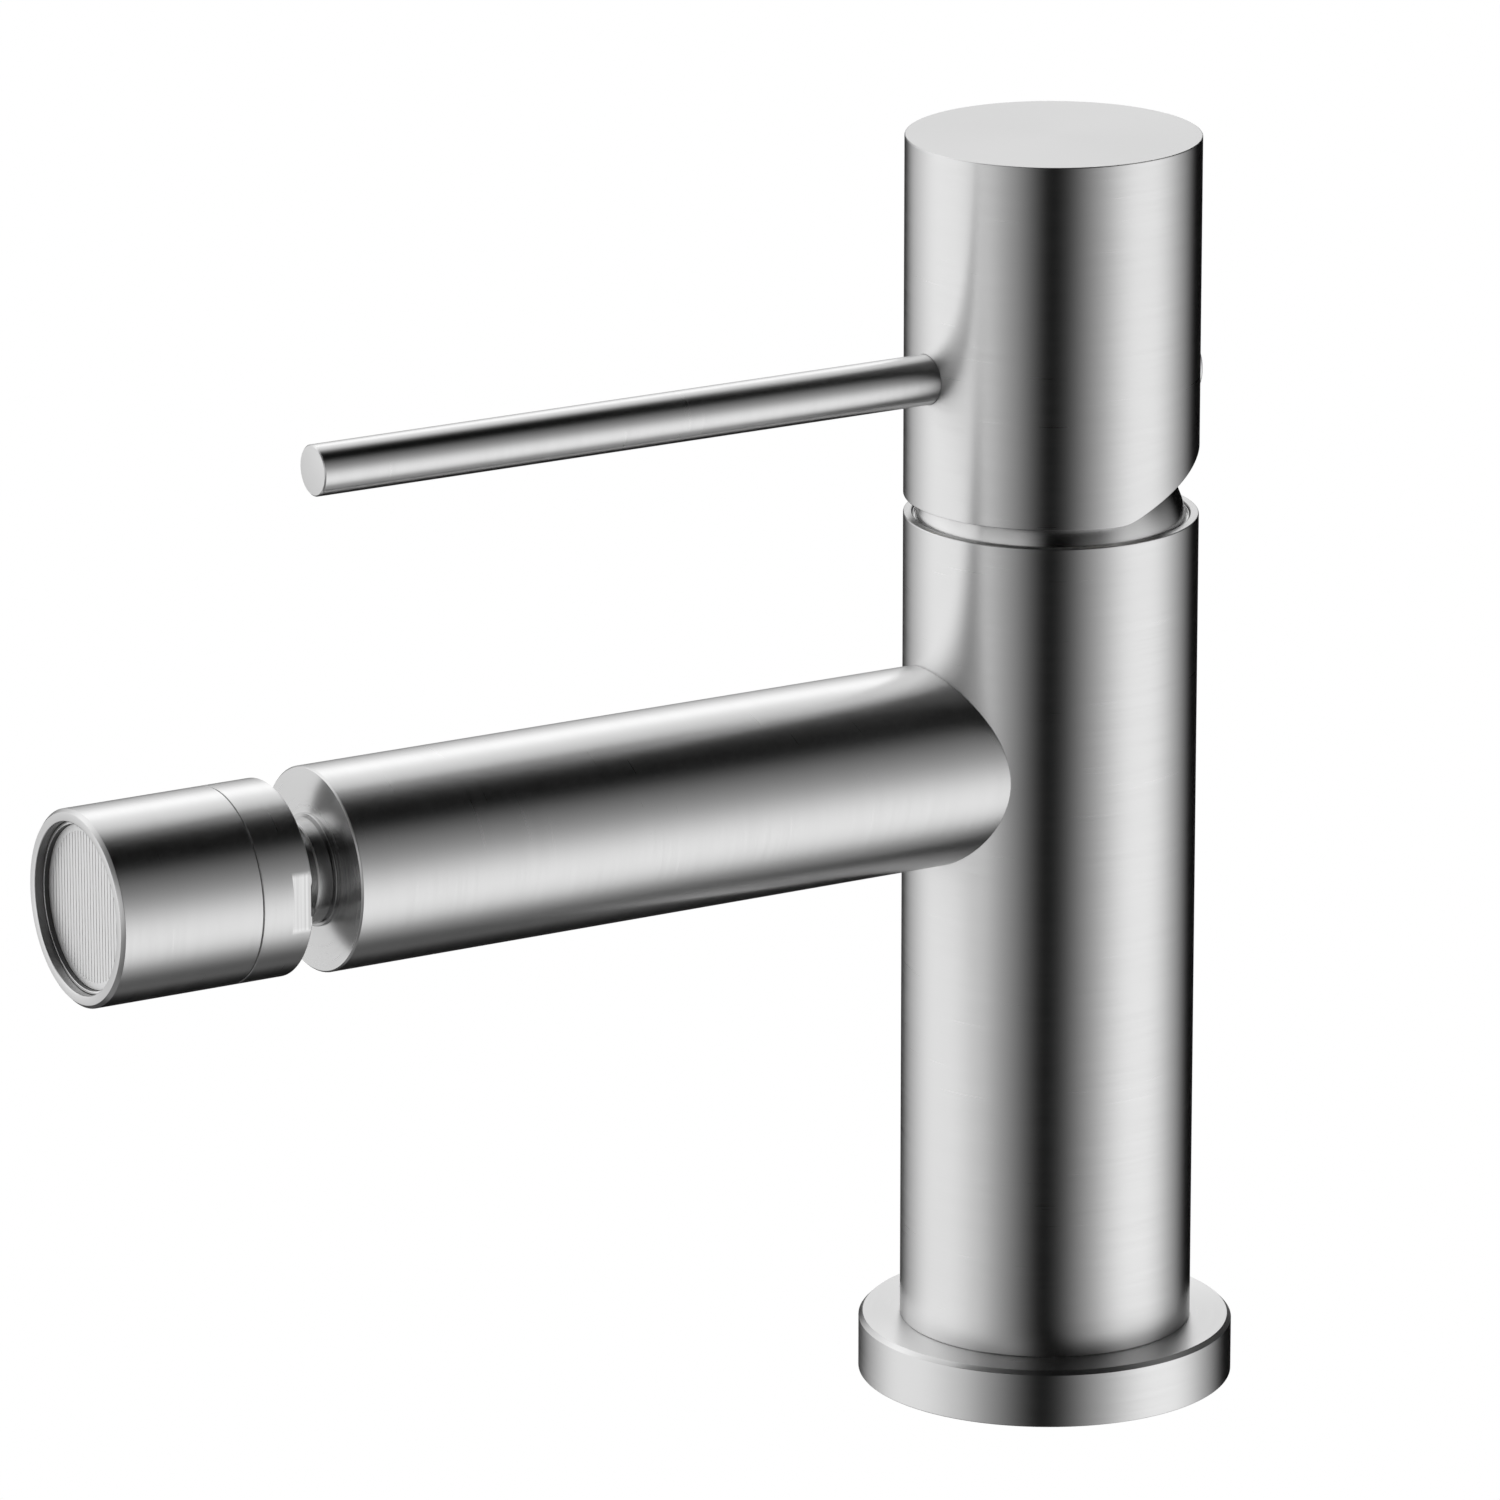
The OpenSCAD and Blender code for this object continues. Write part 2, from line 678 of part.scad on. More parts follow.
// Ring on the housing's neck, with a stop lug for each end of the handle's turn
module hot_limit_ring() {
    lug_spread = 30;
    lug_middle = turn_max + stop_tab / 2 + lug_spread / 2 + stop_play;
    ring_top = hot_ring_z + hot_ring_t;
    ring_r = hot_ring_d / 2;
    inner_r = guide_d / 2 + 2 * slip;
    color(red_plastic) {
        flat_ring(ring_r, inner_r, hot_ring_z, ring_top);
        intersection() {
            flat_ring(ring_r, inner_r, ring_top, ring_top + lug_h);
            union() {
                wedge(90 - lug_middle, lug_spread, 2 * ring_r, ring_top, ring_top + lug_h);
                wedge(90 + lug_middle, lug_spread, 2 * ring_r, ring_top, ring_top + lug_h);
            }
        }
    }
}

// Bonnet: a lip in the column's rim and a dome that is centred on the pivot
module bonnet_dome() {
    thread_r = nut_collar_d / 2 + slip;
    thread_top = nut_top + nut_collar_h + rest_gap;
    color(bright_steel) difference() {
        union() {
            round_bar(lip_r, lip_z, lip_top);
            intersection() {
                translate([0, 0, pivot_z]) sphere(r = dome_r);
                round_bar(dome_r + cut, lip_z, pivot_z + dome_r);
            }
        }
        round_bar(thread_r, lip_z - cut, thread_top);
        intersection() {
            translate([0, 0, pivot_z]) sphere(r = dome_r - dome_wall);
            round_bar(dome_r, thread_top - slip, pivot_z + dome_r);
        }
        round_bar(dome_mouth_d / 2, pivot_z, pivot_z + dome_r + cut);
    }
}

module bonnet_gasket() {
    color(black_rubber) flat_ring(lip_r - slip, nut_bore_r + slip, ledge_z, lip_z);
}

// Solid core of the handle, with a square socket and threads for rod and grub screw
module handle_core() {
    color(brass) difference() {
        round_bar(core_r, core_z, core_z + core_h);
        translate([-socket_w / 2, -socket_w / 2, core_z - cut])
            cube([socket_w, socket_w, spindle_grip + cut + slip]);
        forwards(rod_z) round_bar(tail_bore_r, core_r - rod_tail_l - slip, core_r + cut);
        backwards(grub_z) round_bar(grub_bore_r, 0, core_r + cut);
        backwards(grub_z) round_bar(plug_stem_r + slip, body_r - plug_stem_l, core_r + cut);
    }
}

// Outline of the space under the cap: level in front, rising by the full tilt behind
module under_cap() {
    bend_steps = 5;
    bend_tangent = cut_bend_r * tan(tilt_max / 2);
    bend_y = -cut_start - bend_tangent;
    low = cap_z - 2 * cut;
    far = 2 * body_r;
    rise = far * tan(tilt_max);
    translate([-far, 0, 0]) rotate([90, 0, 90]) linear_extrude(2 * far) polygon(concat(
        [[bend_y, low]],
        [for (step = [0:bend_steps])
            [bend_y + cut_bend_r * sin(step * tilt_max / bend_steps),
             cap_z + cut_bend_r * (1 - cos(step * tilt_max / bend_steps))]],
        [[far - cut_start, cap_z + rise], [far - cut_start, low]]
    ));
}

// Handle cap: a turned shell that is open below and cut away behind
module handle_cap() {
    color(steel) difference() {
        bevelled_bar(body_r, cap_z, cap_top, edge_bevel, edge_bevel);
        round_bar(cap_inner_r, cap_z - cut, cap_top - cap_top_t);
        under_cap();
        forwards(rod_z) round_bar(rod_r + play, 0, body_r + cut);
        backwards(grub_z) round_bar(plug_stem_r + play, 0, body_r + cut);
    }
}

module lever_rod() {
    color(steel) forwards(rod_z) union() {
        bevelled_bar(rod_r, cap_inner_r, rod_reach, 0, rod_bevel);
        round_bar(rod_tail_d / 2, core_r - rod_tail_l, cap_inner_r + cut);
    }
}

module grub_screw() {
    grub_end = grub_y + grub_l;
    color(bright_steel) backwards(grub_z) difference() {
        bevelled_bar(grub_d / 2, grub_y + play, grub_end, slip, slip);
        translate([0, 0, grub_end - grub_key]) cylinder(d = grub_key / cos(30), h = grub_key + cut, $fn = 6);
    }
}

// Round plug with a saddled underside that hides the grub screw
module rear_plug() {
    saddle_gap = 0.02;
    round_steps = 5;
    plug_r = plug_d / 2;
    color(steel) union() {
        difference() {
            backwards(grub_z) rotate_extrude() polygon(concat(
                [[0, body_r - 2 * cut], [plug_r, body_r - 2 * cut]],
                [for (step = [0:round_steps])
                    [plug_r - plug_round * (1 - cos(step * 90 / round_steps)),
                     plug_face_y - plug_round * (1 - sin(step * 90 / round_steps))]],
                [[0, plug_face_y]]
            ));
            round_bar(body_r + saddle_gap, cap_z, cap_top);
        }
        backwards(grub_z)
            round_bar(plug_stem_r, body_r - plug_stem_l + slip, plug_face_y - plug_proud / 2);
    }
}

// Threaded stem with a collar and a ball, drilled for the water
module ball_stem() {
    ball_front = ball_y + ball_r - ball_flat;
    color(bright_steel) along_spout() difference() {
        union() {
            round_bar(stem_thread_d / 2, spout_reach - stem_thread_l, collar_y + cut);
            bevelled_bar(collar_d / 2, collar_y, collar_front_y, collar_bevel, collar_bevel / 2);
            round_bar(stem_d / 2, collar_y, ball_y);
            intersection() {
                translate([0, 0, ball_y]) sphere(r = ball_r);
                round_bar(ball_r + cut, ball_y - ball_d, ball_front);
            }
        }
        round_bar(stem_bore_d / 2, spout_reach - stem_thread_l - cut, ball_front + cut);
        translate([0, 0, ball_front - stem_key_l])
            cylinder(d = stem_key / cos(30), h = stem_key_l + cut, $fn = 6);
    }
}

module stem_washer() {
    color(bright_steel) along_spout()
        flat_ring(washer_d / 2, stem_thread_d / 2 + play, spout_reach, collar_y);
}

// Thin liner, round on both faces, that lets the nozzle turn on the ball
module ball_liner() {
    color(white_plastic) along_spout() translate([0, 0, ball_y]) difference() {
        intersection() {
            sphere(r = liner_out_r);
            cube([nozzle_d, nozzle_d, liner_l], center = true);
        }
        sphere(r = liner_in_r);
    }
}

// Rear ring of the nozzle, with the seat behind the ball and two spanner flats
module swivel_ring() {
    mouth_r = ball_depth * tan(swing_both) + stem_d / 2 / cos(swing_both) + rest_gap;
    throat_drop = 3.5;
    throat_y = ball_y - throat_drop;
    throat_r = sqrt(pow(seat_sphere_r, 2) - pow(throat_drop, 2)) - slip;
    color(steel) along_spout() difference() {
        union() {
            bevelled_bar(nozzle_r, ring_y, seam_y, ring_bevel, nozzle_seam);
            round_bar(ring_thread_r, seam_y - cut, ring_spigot_y);
        }
        translate([0, 0, ring_y - cut]) cylinder(
            r1 = mouth_r + cut * (mouth_r - throat_r) / (throat_y - ring_y), r2 = throat_r,
            h = throat_y - ring_y + cut);
        translate([0, 0, ball_y]) sphere(r = seat_sphere_r);
        round_bar(seat_sphere_r, ball_y, ring_spigot_y + cut);
        for (side = [-1, 1]) translate([side * (nozzle_d - flats_depth), 0, ring_y])
            cube([nozzle_d, nozzle_d, 2 * flats_l], center = true);
    }
}

// Seal with a hollow face that presses on the front of the ball
module ball_seal() {
    color(black_rubber) along_spout() difference() {
        flat_ring(seat_sphere_r - slip, ball_seal_d / 2, seal_y, seal_front_y);
        translate([0, 0, ball_y]) sphere(r = ball_r + play);
    }
}

// Front shell of the nozzle
module nozzle_shell() {
    round_steps = 6;
    color(steel) along_spout() difference() {
        rotate_extrude() polygon(concat(
            [[0, seam_y], [nozzle_r - nozzle_seam, seam_y], [nozzle_r, seam_y + nozzle_seam]],
            [for (step = [0:round_steps])
                [nozzle_r - nozzle_round * (1 - cos(step * 90 / round_steps)),
                 face_y - nozzle_round * (1 - sin(step * 90 / round_steps))]],
            [[0, face_y]]
        ));
        round_bar(ring_thread_r + play, seam_y - cut, shell_thread_y);
        round_bar(seat_sphere_r, seam_y, seal_front_y);
        round_bar(web_bore_d / 2, seam_y, chamber_y + cut);
        round_bar(chamber_r, chamber_y, face_y + cut);
    }
}

module nozzle_washer() {
    color(black_rubber) along_spout()
        flat_ring(chamber_r - slip, web_bore_d / 2 + cut, chamber_y, insert_y);
}

// Aerator insert: jet plate at the rear, seat for the screen in front
module aerator_insert() {
    color(white_plastic) along_spout() difference() {
        round_bar(insert_r, insert_y, insert_front_y);
        round_bar(insert_bore_r, insert_y + jet_plate_t, insert_front_y + cut);
        round_bar(insert_r - insert_lip, screen_back_y, insert_front_y + cut);
        for (jet = [0:jet_n - 1]) rotate([0, 0, jet * 360 / jet_n]) translate([jet_ring_r, 0, 0])
            round_bar(jet_d / 2, insert_y - cut, insert_y + jet_plate_t + cut);
    }
}

// Flow straightener with a hexagonal field of channels
module flow_straightener() {
    back_y = insert_y + jet_plate_t;
    channel_wall = 0.8;
    pitch = channel_d + channel_wall;
    field_r = insert_bore_r - channel_d / 2 - channel_wall / 2;
    color(grey_plastic) along_spout() difference() {
        round_bar(insert_bore_r - play, back_y, back_y + straightener_l);
        for (row = [-3:3], step = [-3:3]) {
            x = pitch * (step + row / 2);
            y = pitch * row * sin(60);
            if (norm([x, y]) <= field_r)
                translate([x, y, 0]) round_bar(channel_d / 2, back_y - cut, back_y + straightener_l + cut);
        }
    }
}

// Flat outlet screen with fine upright slits
module outlet_screen() {
    screen_rim = 0.8;
    slit_field_r = screen_r - screen_rim;
    slit_n = floor(slit_field_r / slit_pitch);
    color(bright_steel) along_spout() difference() {
        round_bar(screen_r, screen_back_y, screen_y);
        for (slit = [-slit_n:slit_n]) {
            x = slit * slit_pitch;
            half = sqrt(slit_field_r * slit_field_r - x * x);
            translate([x, 0, screen_y - screen_t / 2]) cube([slit_w, 2 * half, 2 * screen_t], center = true);
        }
    }
}

body_column();
base_flange();
base_seal();
spout_tube();
cartridge_base();
cartridge_port_seals();
cartridge_housing();
disc_seal_sheet();
fixed_ceramic_disc();
cartridge_nut();
hot_limit_ring();
bonnet_dome();
bonnet_gasket();
ball_stem();
stem_washer();
spindle_guide();
pivot_pin();
moving_ceramic_disc();
disc_carrier();
spindle();
handle_core();
handle_cap();
lever_rod();
grub_screw();
rear_plug();
ball_liner();
swivel_ring();
ball_seal();
nozzle_shell();
nozzle_washer();
aerator_insert();
flow_straightener();
outlet_screen();
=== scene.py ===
# %% [markdown]
# # A bidet mixer in brushed steel
# This notebook dresses a finished construction model of a small bathroom mixer. The
# construction gives every piece its real size and place, and nothing is moved here.
# What we add is what the eye reads: turned skins with fine bevels, the brushing that
# a lathe and an abrasive belt leave, the studio that the metal mirrors, and a camera.

# %% Load the construction model as a fixed frame
import json
import math
import bmesh
import bpy
import numpy as np
from mathutils import Matrix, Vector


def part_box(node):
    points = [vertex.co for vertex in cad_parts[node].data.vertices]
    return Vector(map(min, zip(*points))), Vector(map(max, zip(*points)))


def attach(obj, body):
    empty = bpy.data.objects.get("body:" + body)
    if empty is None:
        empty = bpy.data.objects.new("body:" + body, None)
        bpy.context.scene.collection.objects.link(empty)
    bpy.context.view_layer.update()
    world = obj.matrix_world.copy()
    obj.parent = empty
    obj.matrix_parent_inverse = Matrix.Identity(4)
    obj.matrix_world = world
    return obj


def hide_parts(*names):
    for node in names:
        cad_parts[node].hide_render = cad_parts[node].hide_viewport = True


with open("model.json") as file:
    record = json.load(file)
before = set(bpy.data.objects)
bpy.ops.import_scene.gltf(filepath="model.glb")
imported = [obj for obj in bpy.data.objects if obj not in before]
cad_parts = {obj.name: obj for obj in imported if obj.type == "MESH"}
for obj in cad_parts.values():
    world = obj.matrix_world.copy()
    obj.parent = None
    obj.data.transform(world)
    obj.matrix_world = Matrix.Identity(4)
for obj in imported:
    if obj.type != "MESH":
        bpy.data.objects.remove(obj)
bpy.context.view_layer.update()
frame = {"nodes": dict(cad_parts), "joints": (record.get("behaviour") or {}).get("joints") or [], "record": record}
print("nodes:", len(frame["nodes"]))

# %% [markdown]
# ## Measures
# All lengths are metres, because the frame is in metres. Small sizes are easier to read
# in millimetres, so they are written as a number times MM. Large sizes are never typed
# again: they are read from the boxes of the construction's own pieces, so a changed
# construction changes the skins with it.

# %% Read the main sizes from the frame
MM = 0.001
AROUND = 192
ARC_STEPS = 4


def box_of(node):
    """The low and the high corner of a node's box."""
    low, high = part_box(node)
    return np.array(low), np.array(high)


body_r, _, rim_z = box_of("body_column")[1]
flange_r, _, flange_top = box_of("base_flange")[1]
spout_low, spout_high = box_of("spout_tube")
spout_r = spout_high[0]
spout_z = (spout_low[2] + spout_high[2]) / 2
spout_reach = -spout_low[1]
cap_low, cap_high = box_of("handle_cap")
cap_z, cap_top = cap_low[2], cap_high[2]
rod_low, rod_high = box_of("lever_rod")
rod_r = rod_high[0]
rod_z = (rod_low[2] + rod_high[2]) / 2
rod_reach = -rod_low[1]
print("column radius", round(body_r / MM, 2), "mm, spout reach", round(spout_reach / MM, 2), "mm")

# %% [markdown]
# ## How a turned piece becomes a mesh
# Nearly every piece of a mixer is cut on a lathe: a flat profile spun round an axis. A
# screw modifier could spin it, but some of these rims aren't level (the cap is cut away
# behind, the spout is coped onto the column). So the skin is built ring by ring: each
# ring is a row of points, and a function may bend a ring before the next one joins it.
# A corner of a real turned piece is never sharp, so profiles are written as corners
# with a small radius, and a helper puts a short arc in each of them.

# %% Profile corners with arcs
def rounded(corners):
    """Profile points from corners (radius, height) or (radius, height, corner radius)."""
    points = []
    count = len(corners)
    for i, corner in enumerate(corners):
        here = np.array(corner[:2])
        bend = corner[2] if len(corner) > 2 else 0
        if not bend:
            points.append(here)
            continue
        back = np.array(corners[i - 1][:2]) - here
        ahead = np.array(corners[(i + 1) % count][:2]) - here
        back /= np.linalg.norm(back)
        ahead /= np.linalg.norm(ahead)
        half = math.acos(np.clip(back @ ahead, -1, 1)) / 2
        middle = here + (back + ahead) / np.linalg.norm(back + ahead) * bend / math.sin(half)
        first = here + back * bend / math.tan(half) - middle
        last = here + ahead * bend / math.tan(half) - middle
        for share in np.linspace(0, 1, ARC_STEPS + 1):
            spoke = first * (1 - share) + last * share
            points.append(middle + spoke / np.linalg.norm(spoke) * bend)
    return points


angles = np.arange(AROUND) * 2 * math.pi / AROUND


def circle(radius, height):
    """A ring round the Z axis. Radius and height may differ from point to point."""
    return np.stack([radius * np.cos(angles), radius * np.sin(angles), height + 0 * angles], 1)


def spun(corners):
    """Rings of a turned piece. A corner at radius 0 gives one point, a pole."""
    return [circle(r, h) if r > 0 else np.array([[0.0, 0.0, h]]) for r, h in rounded(corners)]


def forwards(points, height):
    """Lays rings that were drawn upwards along the spout's direction, at a height."""
    return np.stack([points[:, 0], -points[:, 2], points[:, 1] + height], 1)


def backwards(points, height):
    """Lays rings that were drawn upwards along +Y, at a height."""
    return np.stack([points[:, 0], points[:, 2], -points[:, 1] + height], 1)


print("rings have", AROUND, "points, and an arc has", ARC_STEPS, "steps")

# %% [markdown]
# ## The skin between the rings
# Neighbouring rings are joined with four-sided faces. The UV map isn't for pictures: its
# first number runs along the profile in metres and its second once round the piece. The
# brushed finish reads its direction from it, as lathe marks always run round the piece.
# Normals are weighted by area, so a bevel of a tenth of a millimetre catches light as a
# fine line while the long wall beside it stays perfectly straight.

# %% The skin builder
def skin(name, rings, hollow=False):
    """A closed mesh through rings of points. Hollow pieces join their last ring to the first."""
    around = max(len(ring) for ring in rings)
    points = np.concatenate(rings)
    starts = np.cumsum([0] + [len(r) for r in rings[:-1]])
    spans = list(range(len(rings) if hollow else len(rings) - 1))
    faces, maps = [], []
    along = 0.0
    for i in spans:
        k = (i + 1) % len(rings)
        a, b = rings[i], rings[k]
        step = float(np.linalg.norm(a - b, axis=1).mean())
        u0, u1 = along, along + step
        along = u1
        for j in range(around):
            n = (j + 1) % around
            v0, v1 = j / around, (j + 1) / around
            if len(a) == 1:
                face = (starts[i], starts[k] + n, starts[k] + j)
                uv = ((u0, (v0 + v1) / 2), (u1, v1), (u1, v0))
            elif len(b) == 1:
                face = (starts[i] + j, starts[i] + n, starts[k])
                uv = ((u0, v0), (u0, v1), (u1, (v0 + v1) / 2))
            else:
                face = (starts[i] + j, starts[i] + n, starts[k] + n, starts[k] + j)
                uv = ((u0, v0), (u0, v1), (u1, v1), (u1, v0))
            faces.append([int(f) for f in face])
            maps.append(uv)
    mesh = bpy.data.meshes.new(name)
    mesh.from_pydata([tuple(p) for p in points], [], faces)
    layer = mesh.uv_layers.new(name="Brushing")
    corner = 0
    for uv in maps:
        for place in uv:
            layer.data[corner].uv = place
            corner += 1
    mesh.validate()
    mesh.shade_smooth()
    piece = bpy.data.objects.new(name, mesh)
    bpy.context.scene.collection.objects.link(piece)
    return piece


def carve(piece, cutters):
    """Cuts shapes out of a piece with exact booleans, which lose no small face in millimetres."""
    grow = Matrix.Scale(1 / MM, 4)
    piece.data.transform(grow)
    for cutter in cutters:
        cutter.data.transform(grow)
        cut = piece.modifiers.new("Cut " + cutter.name, "BOOLEAN")
        cut.operation = "DIFFERENCE"
        cut.solver = "EXACT"
        cut.object = cutter
    depsgraph = bpy.context.evaluated_depsgraph_get()
    result = bpy.data.meshes.new_from_object(piece.evaluated_get(depsgraph))
    result.transform(grow.inverted())
    piece.modifiers.clear()
    piece.data = result
    for cutter in cutters:
        bpy.data.objects.remove(cutter)


def close_up(mesh):
    """Joins points that coincide, drops faces without area and counts the open edges."""
    tiny = 0.001 * MM
    work = bmesh.new()
    work.from_mesh(mesh)
    bmesh.ops.remove_doubles(work, verts=work.verts, dist=tiny)
    bmesh.ops.dissolve_degenerate(work, edges=work.edges, dist=tiny)
    open_edges = sum(1 for edge in work.edges if len(edge.link_faces) != 2)
    work.to_mesh(mesh)
    work.free()
    return open_edges


def soften(piece, limit=28):
    """Keeps edges over the limit crisp and weighs the other normals by face area."""
    piece.data.shade_smooth()
    piece.data.set_sharp_from_angle(angle=math.radians(limit))
    weights = piece.modifiers.new("Weighted normals", "WEIGHTED_NORMAL")
    weights.keep_sharp = True


def repaint(piece, chosen, across=None):
    """Moves the faces whose centre passes a test to the second finish of the piece."""
    mesh = piece.data
    layer = mesh.uv_layers["Brushing"]
    changed = 0
    for polygon in mesh.polygons:
        if not chosen(polygon.center):
            continue
        polygon.material_index = 1
        changed += 1
        if across:
            for loop, vertex in zip(polygon.loop_indices, polygon.vertices):
                layer.data[loop].uv = across(mesh.vertices[vertex].co)
    print("repainted", changed, "faces of", piece.name)


def fit_out(piece, body, node, materials):
    """Rides a piece on its body, hides the node that it takes the place of and gives it its finishes."""
    for i, material in enumerate(materials):
        if i < len(piece.data.materials):
            piece.data.materials[i] = material
        else:
            piece.data.materials.append(material)
    open_edges = close_up(piece.data)
    soften(piece)
    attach(piece, body)
    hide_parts(node)
    faces = len(piece.data.polygons)
    print(piece.name, "has", faces, "faces and", open_edges, "open edges, and rides on", body)


# %% [markdown]
# ## Brushed steel
# Brushing covers steel with fine parallel scratches. Light that runs along them bounces
# as from a mirror, and light across them is thrown wide, so highlights stretch square to
# the scratches. One glossy metal with anisotropy shows that, if its tangent lies across
# the scratches: here along the profile. Two faint streak patterns, long round the piece
# and very fine along it, then vary the roughness and tone a little, because a perfect
# stretch of metal looks like plastic.

# %% The brushed finish
def node_row(tree):
    """Makes nodes from left to right, so that the tree stays readable when it is opened."""
    row = {"x": -1400}

    def make(kind, **settings):
        made = tree.nodes.new(kind)
        made.location = (row["x"], 0)
        row["x"] += 180
        for name, value in settings.items():
            setattr(made, name, value)
        return made
    return make


def blank_material(name):
    """A material with an empty node tree, and the helper that fills it."""
    material = bpy.data.materials.new(name)
    material.use_nodes = True
    tree = material.node_tree
    tree.nodes.clear()
    return material, tree, node_row(tree)


def streaks(tree, make, across, length):
    """Noise that is fine along the profile and long round the piece, in lines of that size."""
    place = make("ShaderNodeTexCoord")
    slow = make("ShaderNodeVectorMath", operation="SCALE")
    slow.inputs["Scale"].default_value = 1 / length
    tree.links.new(place.outputs["Object"], slow.inputs[0])
    apart = make("ShaderNodeSeparateXYZ")
    brushing = make("ShaderNodeUVMap", uv_map="Brushing")
    tree.links.new(brushing.outputs["UV"], apart.inputs["Vector"])
    fast = make("ShaderNodeMath", operation="MULTIPLY")
    fast.inputs[1].default_value = 1 / across
    tree.links.new(apart.outputs["X"], fast.inputs[0])
    noise = make("ShaderNodeTexNoise", noise_dimensions="4D")
    noise.inputs["Scale"].default_value = 1
    noise.inputs["Detail"].default_value = 2
    tree.links.new(slow.outputs["Vector"], noise.inputs["Vector"])
    tree.links.new(fast.outputs["Value"], noise.inputs["W"])
    return noise.outputs["Fac"]


def spread(tree, make, value, middle, reach):
    """Stretches noise, most of which lies between 0.25 and 0.75, over a range round a middle."""
    stretched = make("ShaderNodeMapRange")
    stretched.inputs["From Min"].default_value = 0.25
    stretched.inputs["From Max"].default_value = 0.75
    stretched.inputs["To Min"].default_value = middle - reach
    stretched.inputs["To Max"].default_value = middle + reach
    tree.links.new(value, stretched.inputs["Value"])
    return stretched.outputs["Result"]


def brushed_steel(name, tone, roughness, stretch, across=0.2 * MM, length=9 * MM,
                  uneven=0.035, shade=0.01):
    """Steel with fine scratches round the piece. Stretch is the anisotropy of its highlights."""
    material, tree, make = blank_material(name)
    fine = streaks(tree, make, across, length)
    broad = streaks(tree, make, across * 5, length * 3)
    blend = make("ShaderNodeMix", data_type="FLOAT")
    blend.inputs["Factor"].default_value = 0.25
    tree.links.new(fine, blend.inputs["A"])
    tree.links.new(broad, blend.inputs["B"])
    rough = spread(tree, make, blend.outputs["Result"], roughness, uneven)
    light = spread(tree, make, blend.outputs["Result"], tone, shade)
    grey = make("ShaderNodeCombineColor")
    for channel in ("Red", "Green", "Blue"):
        tree.links.new(light, grey.inputs[channel])
    across_lines = make("ShaderNodeTangent", direction_type="UV_MAP", uv_map="Brushing")
    metal = make("ShaderNodeBsdfPrincipled")
    metal.inputs["Metallic"].default_value = 1
    metal.inputs["Anisotropic"].default_value = stretch
    tree.links.new(grey.outputs["Color"], metal.inputs["Base Color"])
    tree.links.new(rough, metal.inputs["Roughness"])
    tree.links.new(across_lines.outputs["Tangent"], metal.inputs["Tangent"])
    out = make("ShaderNodeOutputMaterial")
    tree.links.new(metal.outputs["BSDF"], out.inputs["Surface"])
    return material


STEEL_TONE = 0.74
body_brushing = brushed_steel("body_brushing", STEEL_TONE, 0.30, 0.89)
flat_brushing = brushed_steel("flat_brushing", 0.72, 0.30, 0.6, across=0.26 * MM,
                              length=30 * MM, shade=0.22)
face_turning = brushed_steel("face_turning", STEEL_TONE, 0.25, 0.80, across=0.3 * MM, uneven=0.05)
satin = brushed_steel("satin_face", 0.73, 0.42, 0.15, uneven=0.02)
rod_brushing = brushed_steel("rod_brushing", STEEL_TONE, 0.30, 0.87)
nozzle_brushing = brushed_steel("nozzle_brushing", STEEL_TONE, 0.30, 0.89)
fine_turning = brushed_steel("fine_turning", 0.62, 0.24, 0.60, across=0.1 * MM, uneven=0.01)
dome_turning = brushed_steel("dome_turning", STEEL_TONE, 0.22, 0.75, uneven=0.01)
# Painted shade: a darker copy of the turned steel for the nozzle's chamber wall, standing for the shade inside the
# recess.
bore_painted_shade = brushed_steel("bore_painted_shade", 0.34, 0.30, 0.80, uneven=0.02)
print("steel finishes:", [material.name for material in bpy.data.materials])

# %% [markdown]
# ## Rubber, plastic, ceramic and brass
# The inner pieces hardly show, but they are turned, moulded or lapped parts too, and a
# cut-away view should show what each is made of. One function gives them a base colour
# that drifts slightly, a fine surface grain and a roughness that isn't the same all over.

# %% Finishes of the inner pieces
def plain_finish(name, colour, roughness, metallic=0.0, grain=0.3 * MM, drift=0.04):
    """A base colour that drifts, with a fine grain in its roughness and its relief."""
    uneven = 0.08
    material, tree, make = blank_material(name)
    place = make("ShaderNodeTexCoord")
    speckle = make("ShaderNodeTexNoise")
    speckle.inputs["Scale"].default_value = 1 / grain
    speckle.inputs["Detail"].default_value = 3
    tree.links.new(place.outputs["Object"], speckle.inputs["Vector"])
    cloud = make("ShaderNodeTexNoise")
    cloud.inputs["Scale"].default_value = 0.1 / grain
    tree.links.new(place.outputs["Object"], cloud.inputs["Vector"])
    shade = make("ShaderNodeMix", data_type="RGBA")
    shade.inputs["A"].default_value = (*[max(0, c - drift) for c in colour], 1)
    shade.inputs["B"].default_value = (*[min(1, c + drift) for c in colour], 1)
    tree.links.new(cloud.outputs["Fac"], shade.inputs["Factor"])
    rough = make("ShaderNodeMapRange")
    rough.inputs["To Min"].default_value = roughness - uneven
    rough.inputs["To Max"].default_value = roughness + uneven
    tree.links.new(speckle.outputs["Fac"], rough.inputs["Value"])
    bump = make("ShaderNodeBump")
    bump.inputs["Strength"].default_value = 0.3
    bump.inputs["Distance"].default_value = 0.02 * MM
    tree.links.new(speckle.outputs["Fac"], bump.inputs["Height"])
    shader = make("ShaderNodeBsdfPrincipled")
    shader.inputs["Metallic"].default_value = metallic
    tree.links.new(shade.outputs["Result"], shader.inputs["Base Color"])
    tree.links.new(rough.outputs["Result"], shader.inputs["Roughness"])
    tree.links.new(bump.outputs["Normal"], shader.inputs["Normal"])
    out = make("ShaderNodeOutputMaterial")
    tree.links.new(shader.outputs["BSDF"], out.inputs["Surface"])
    return material


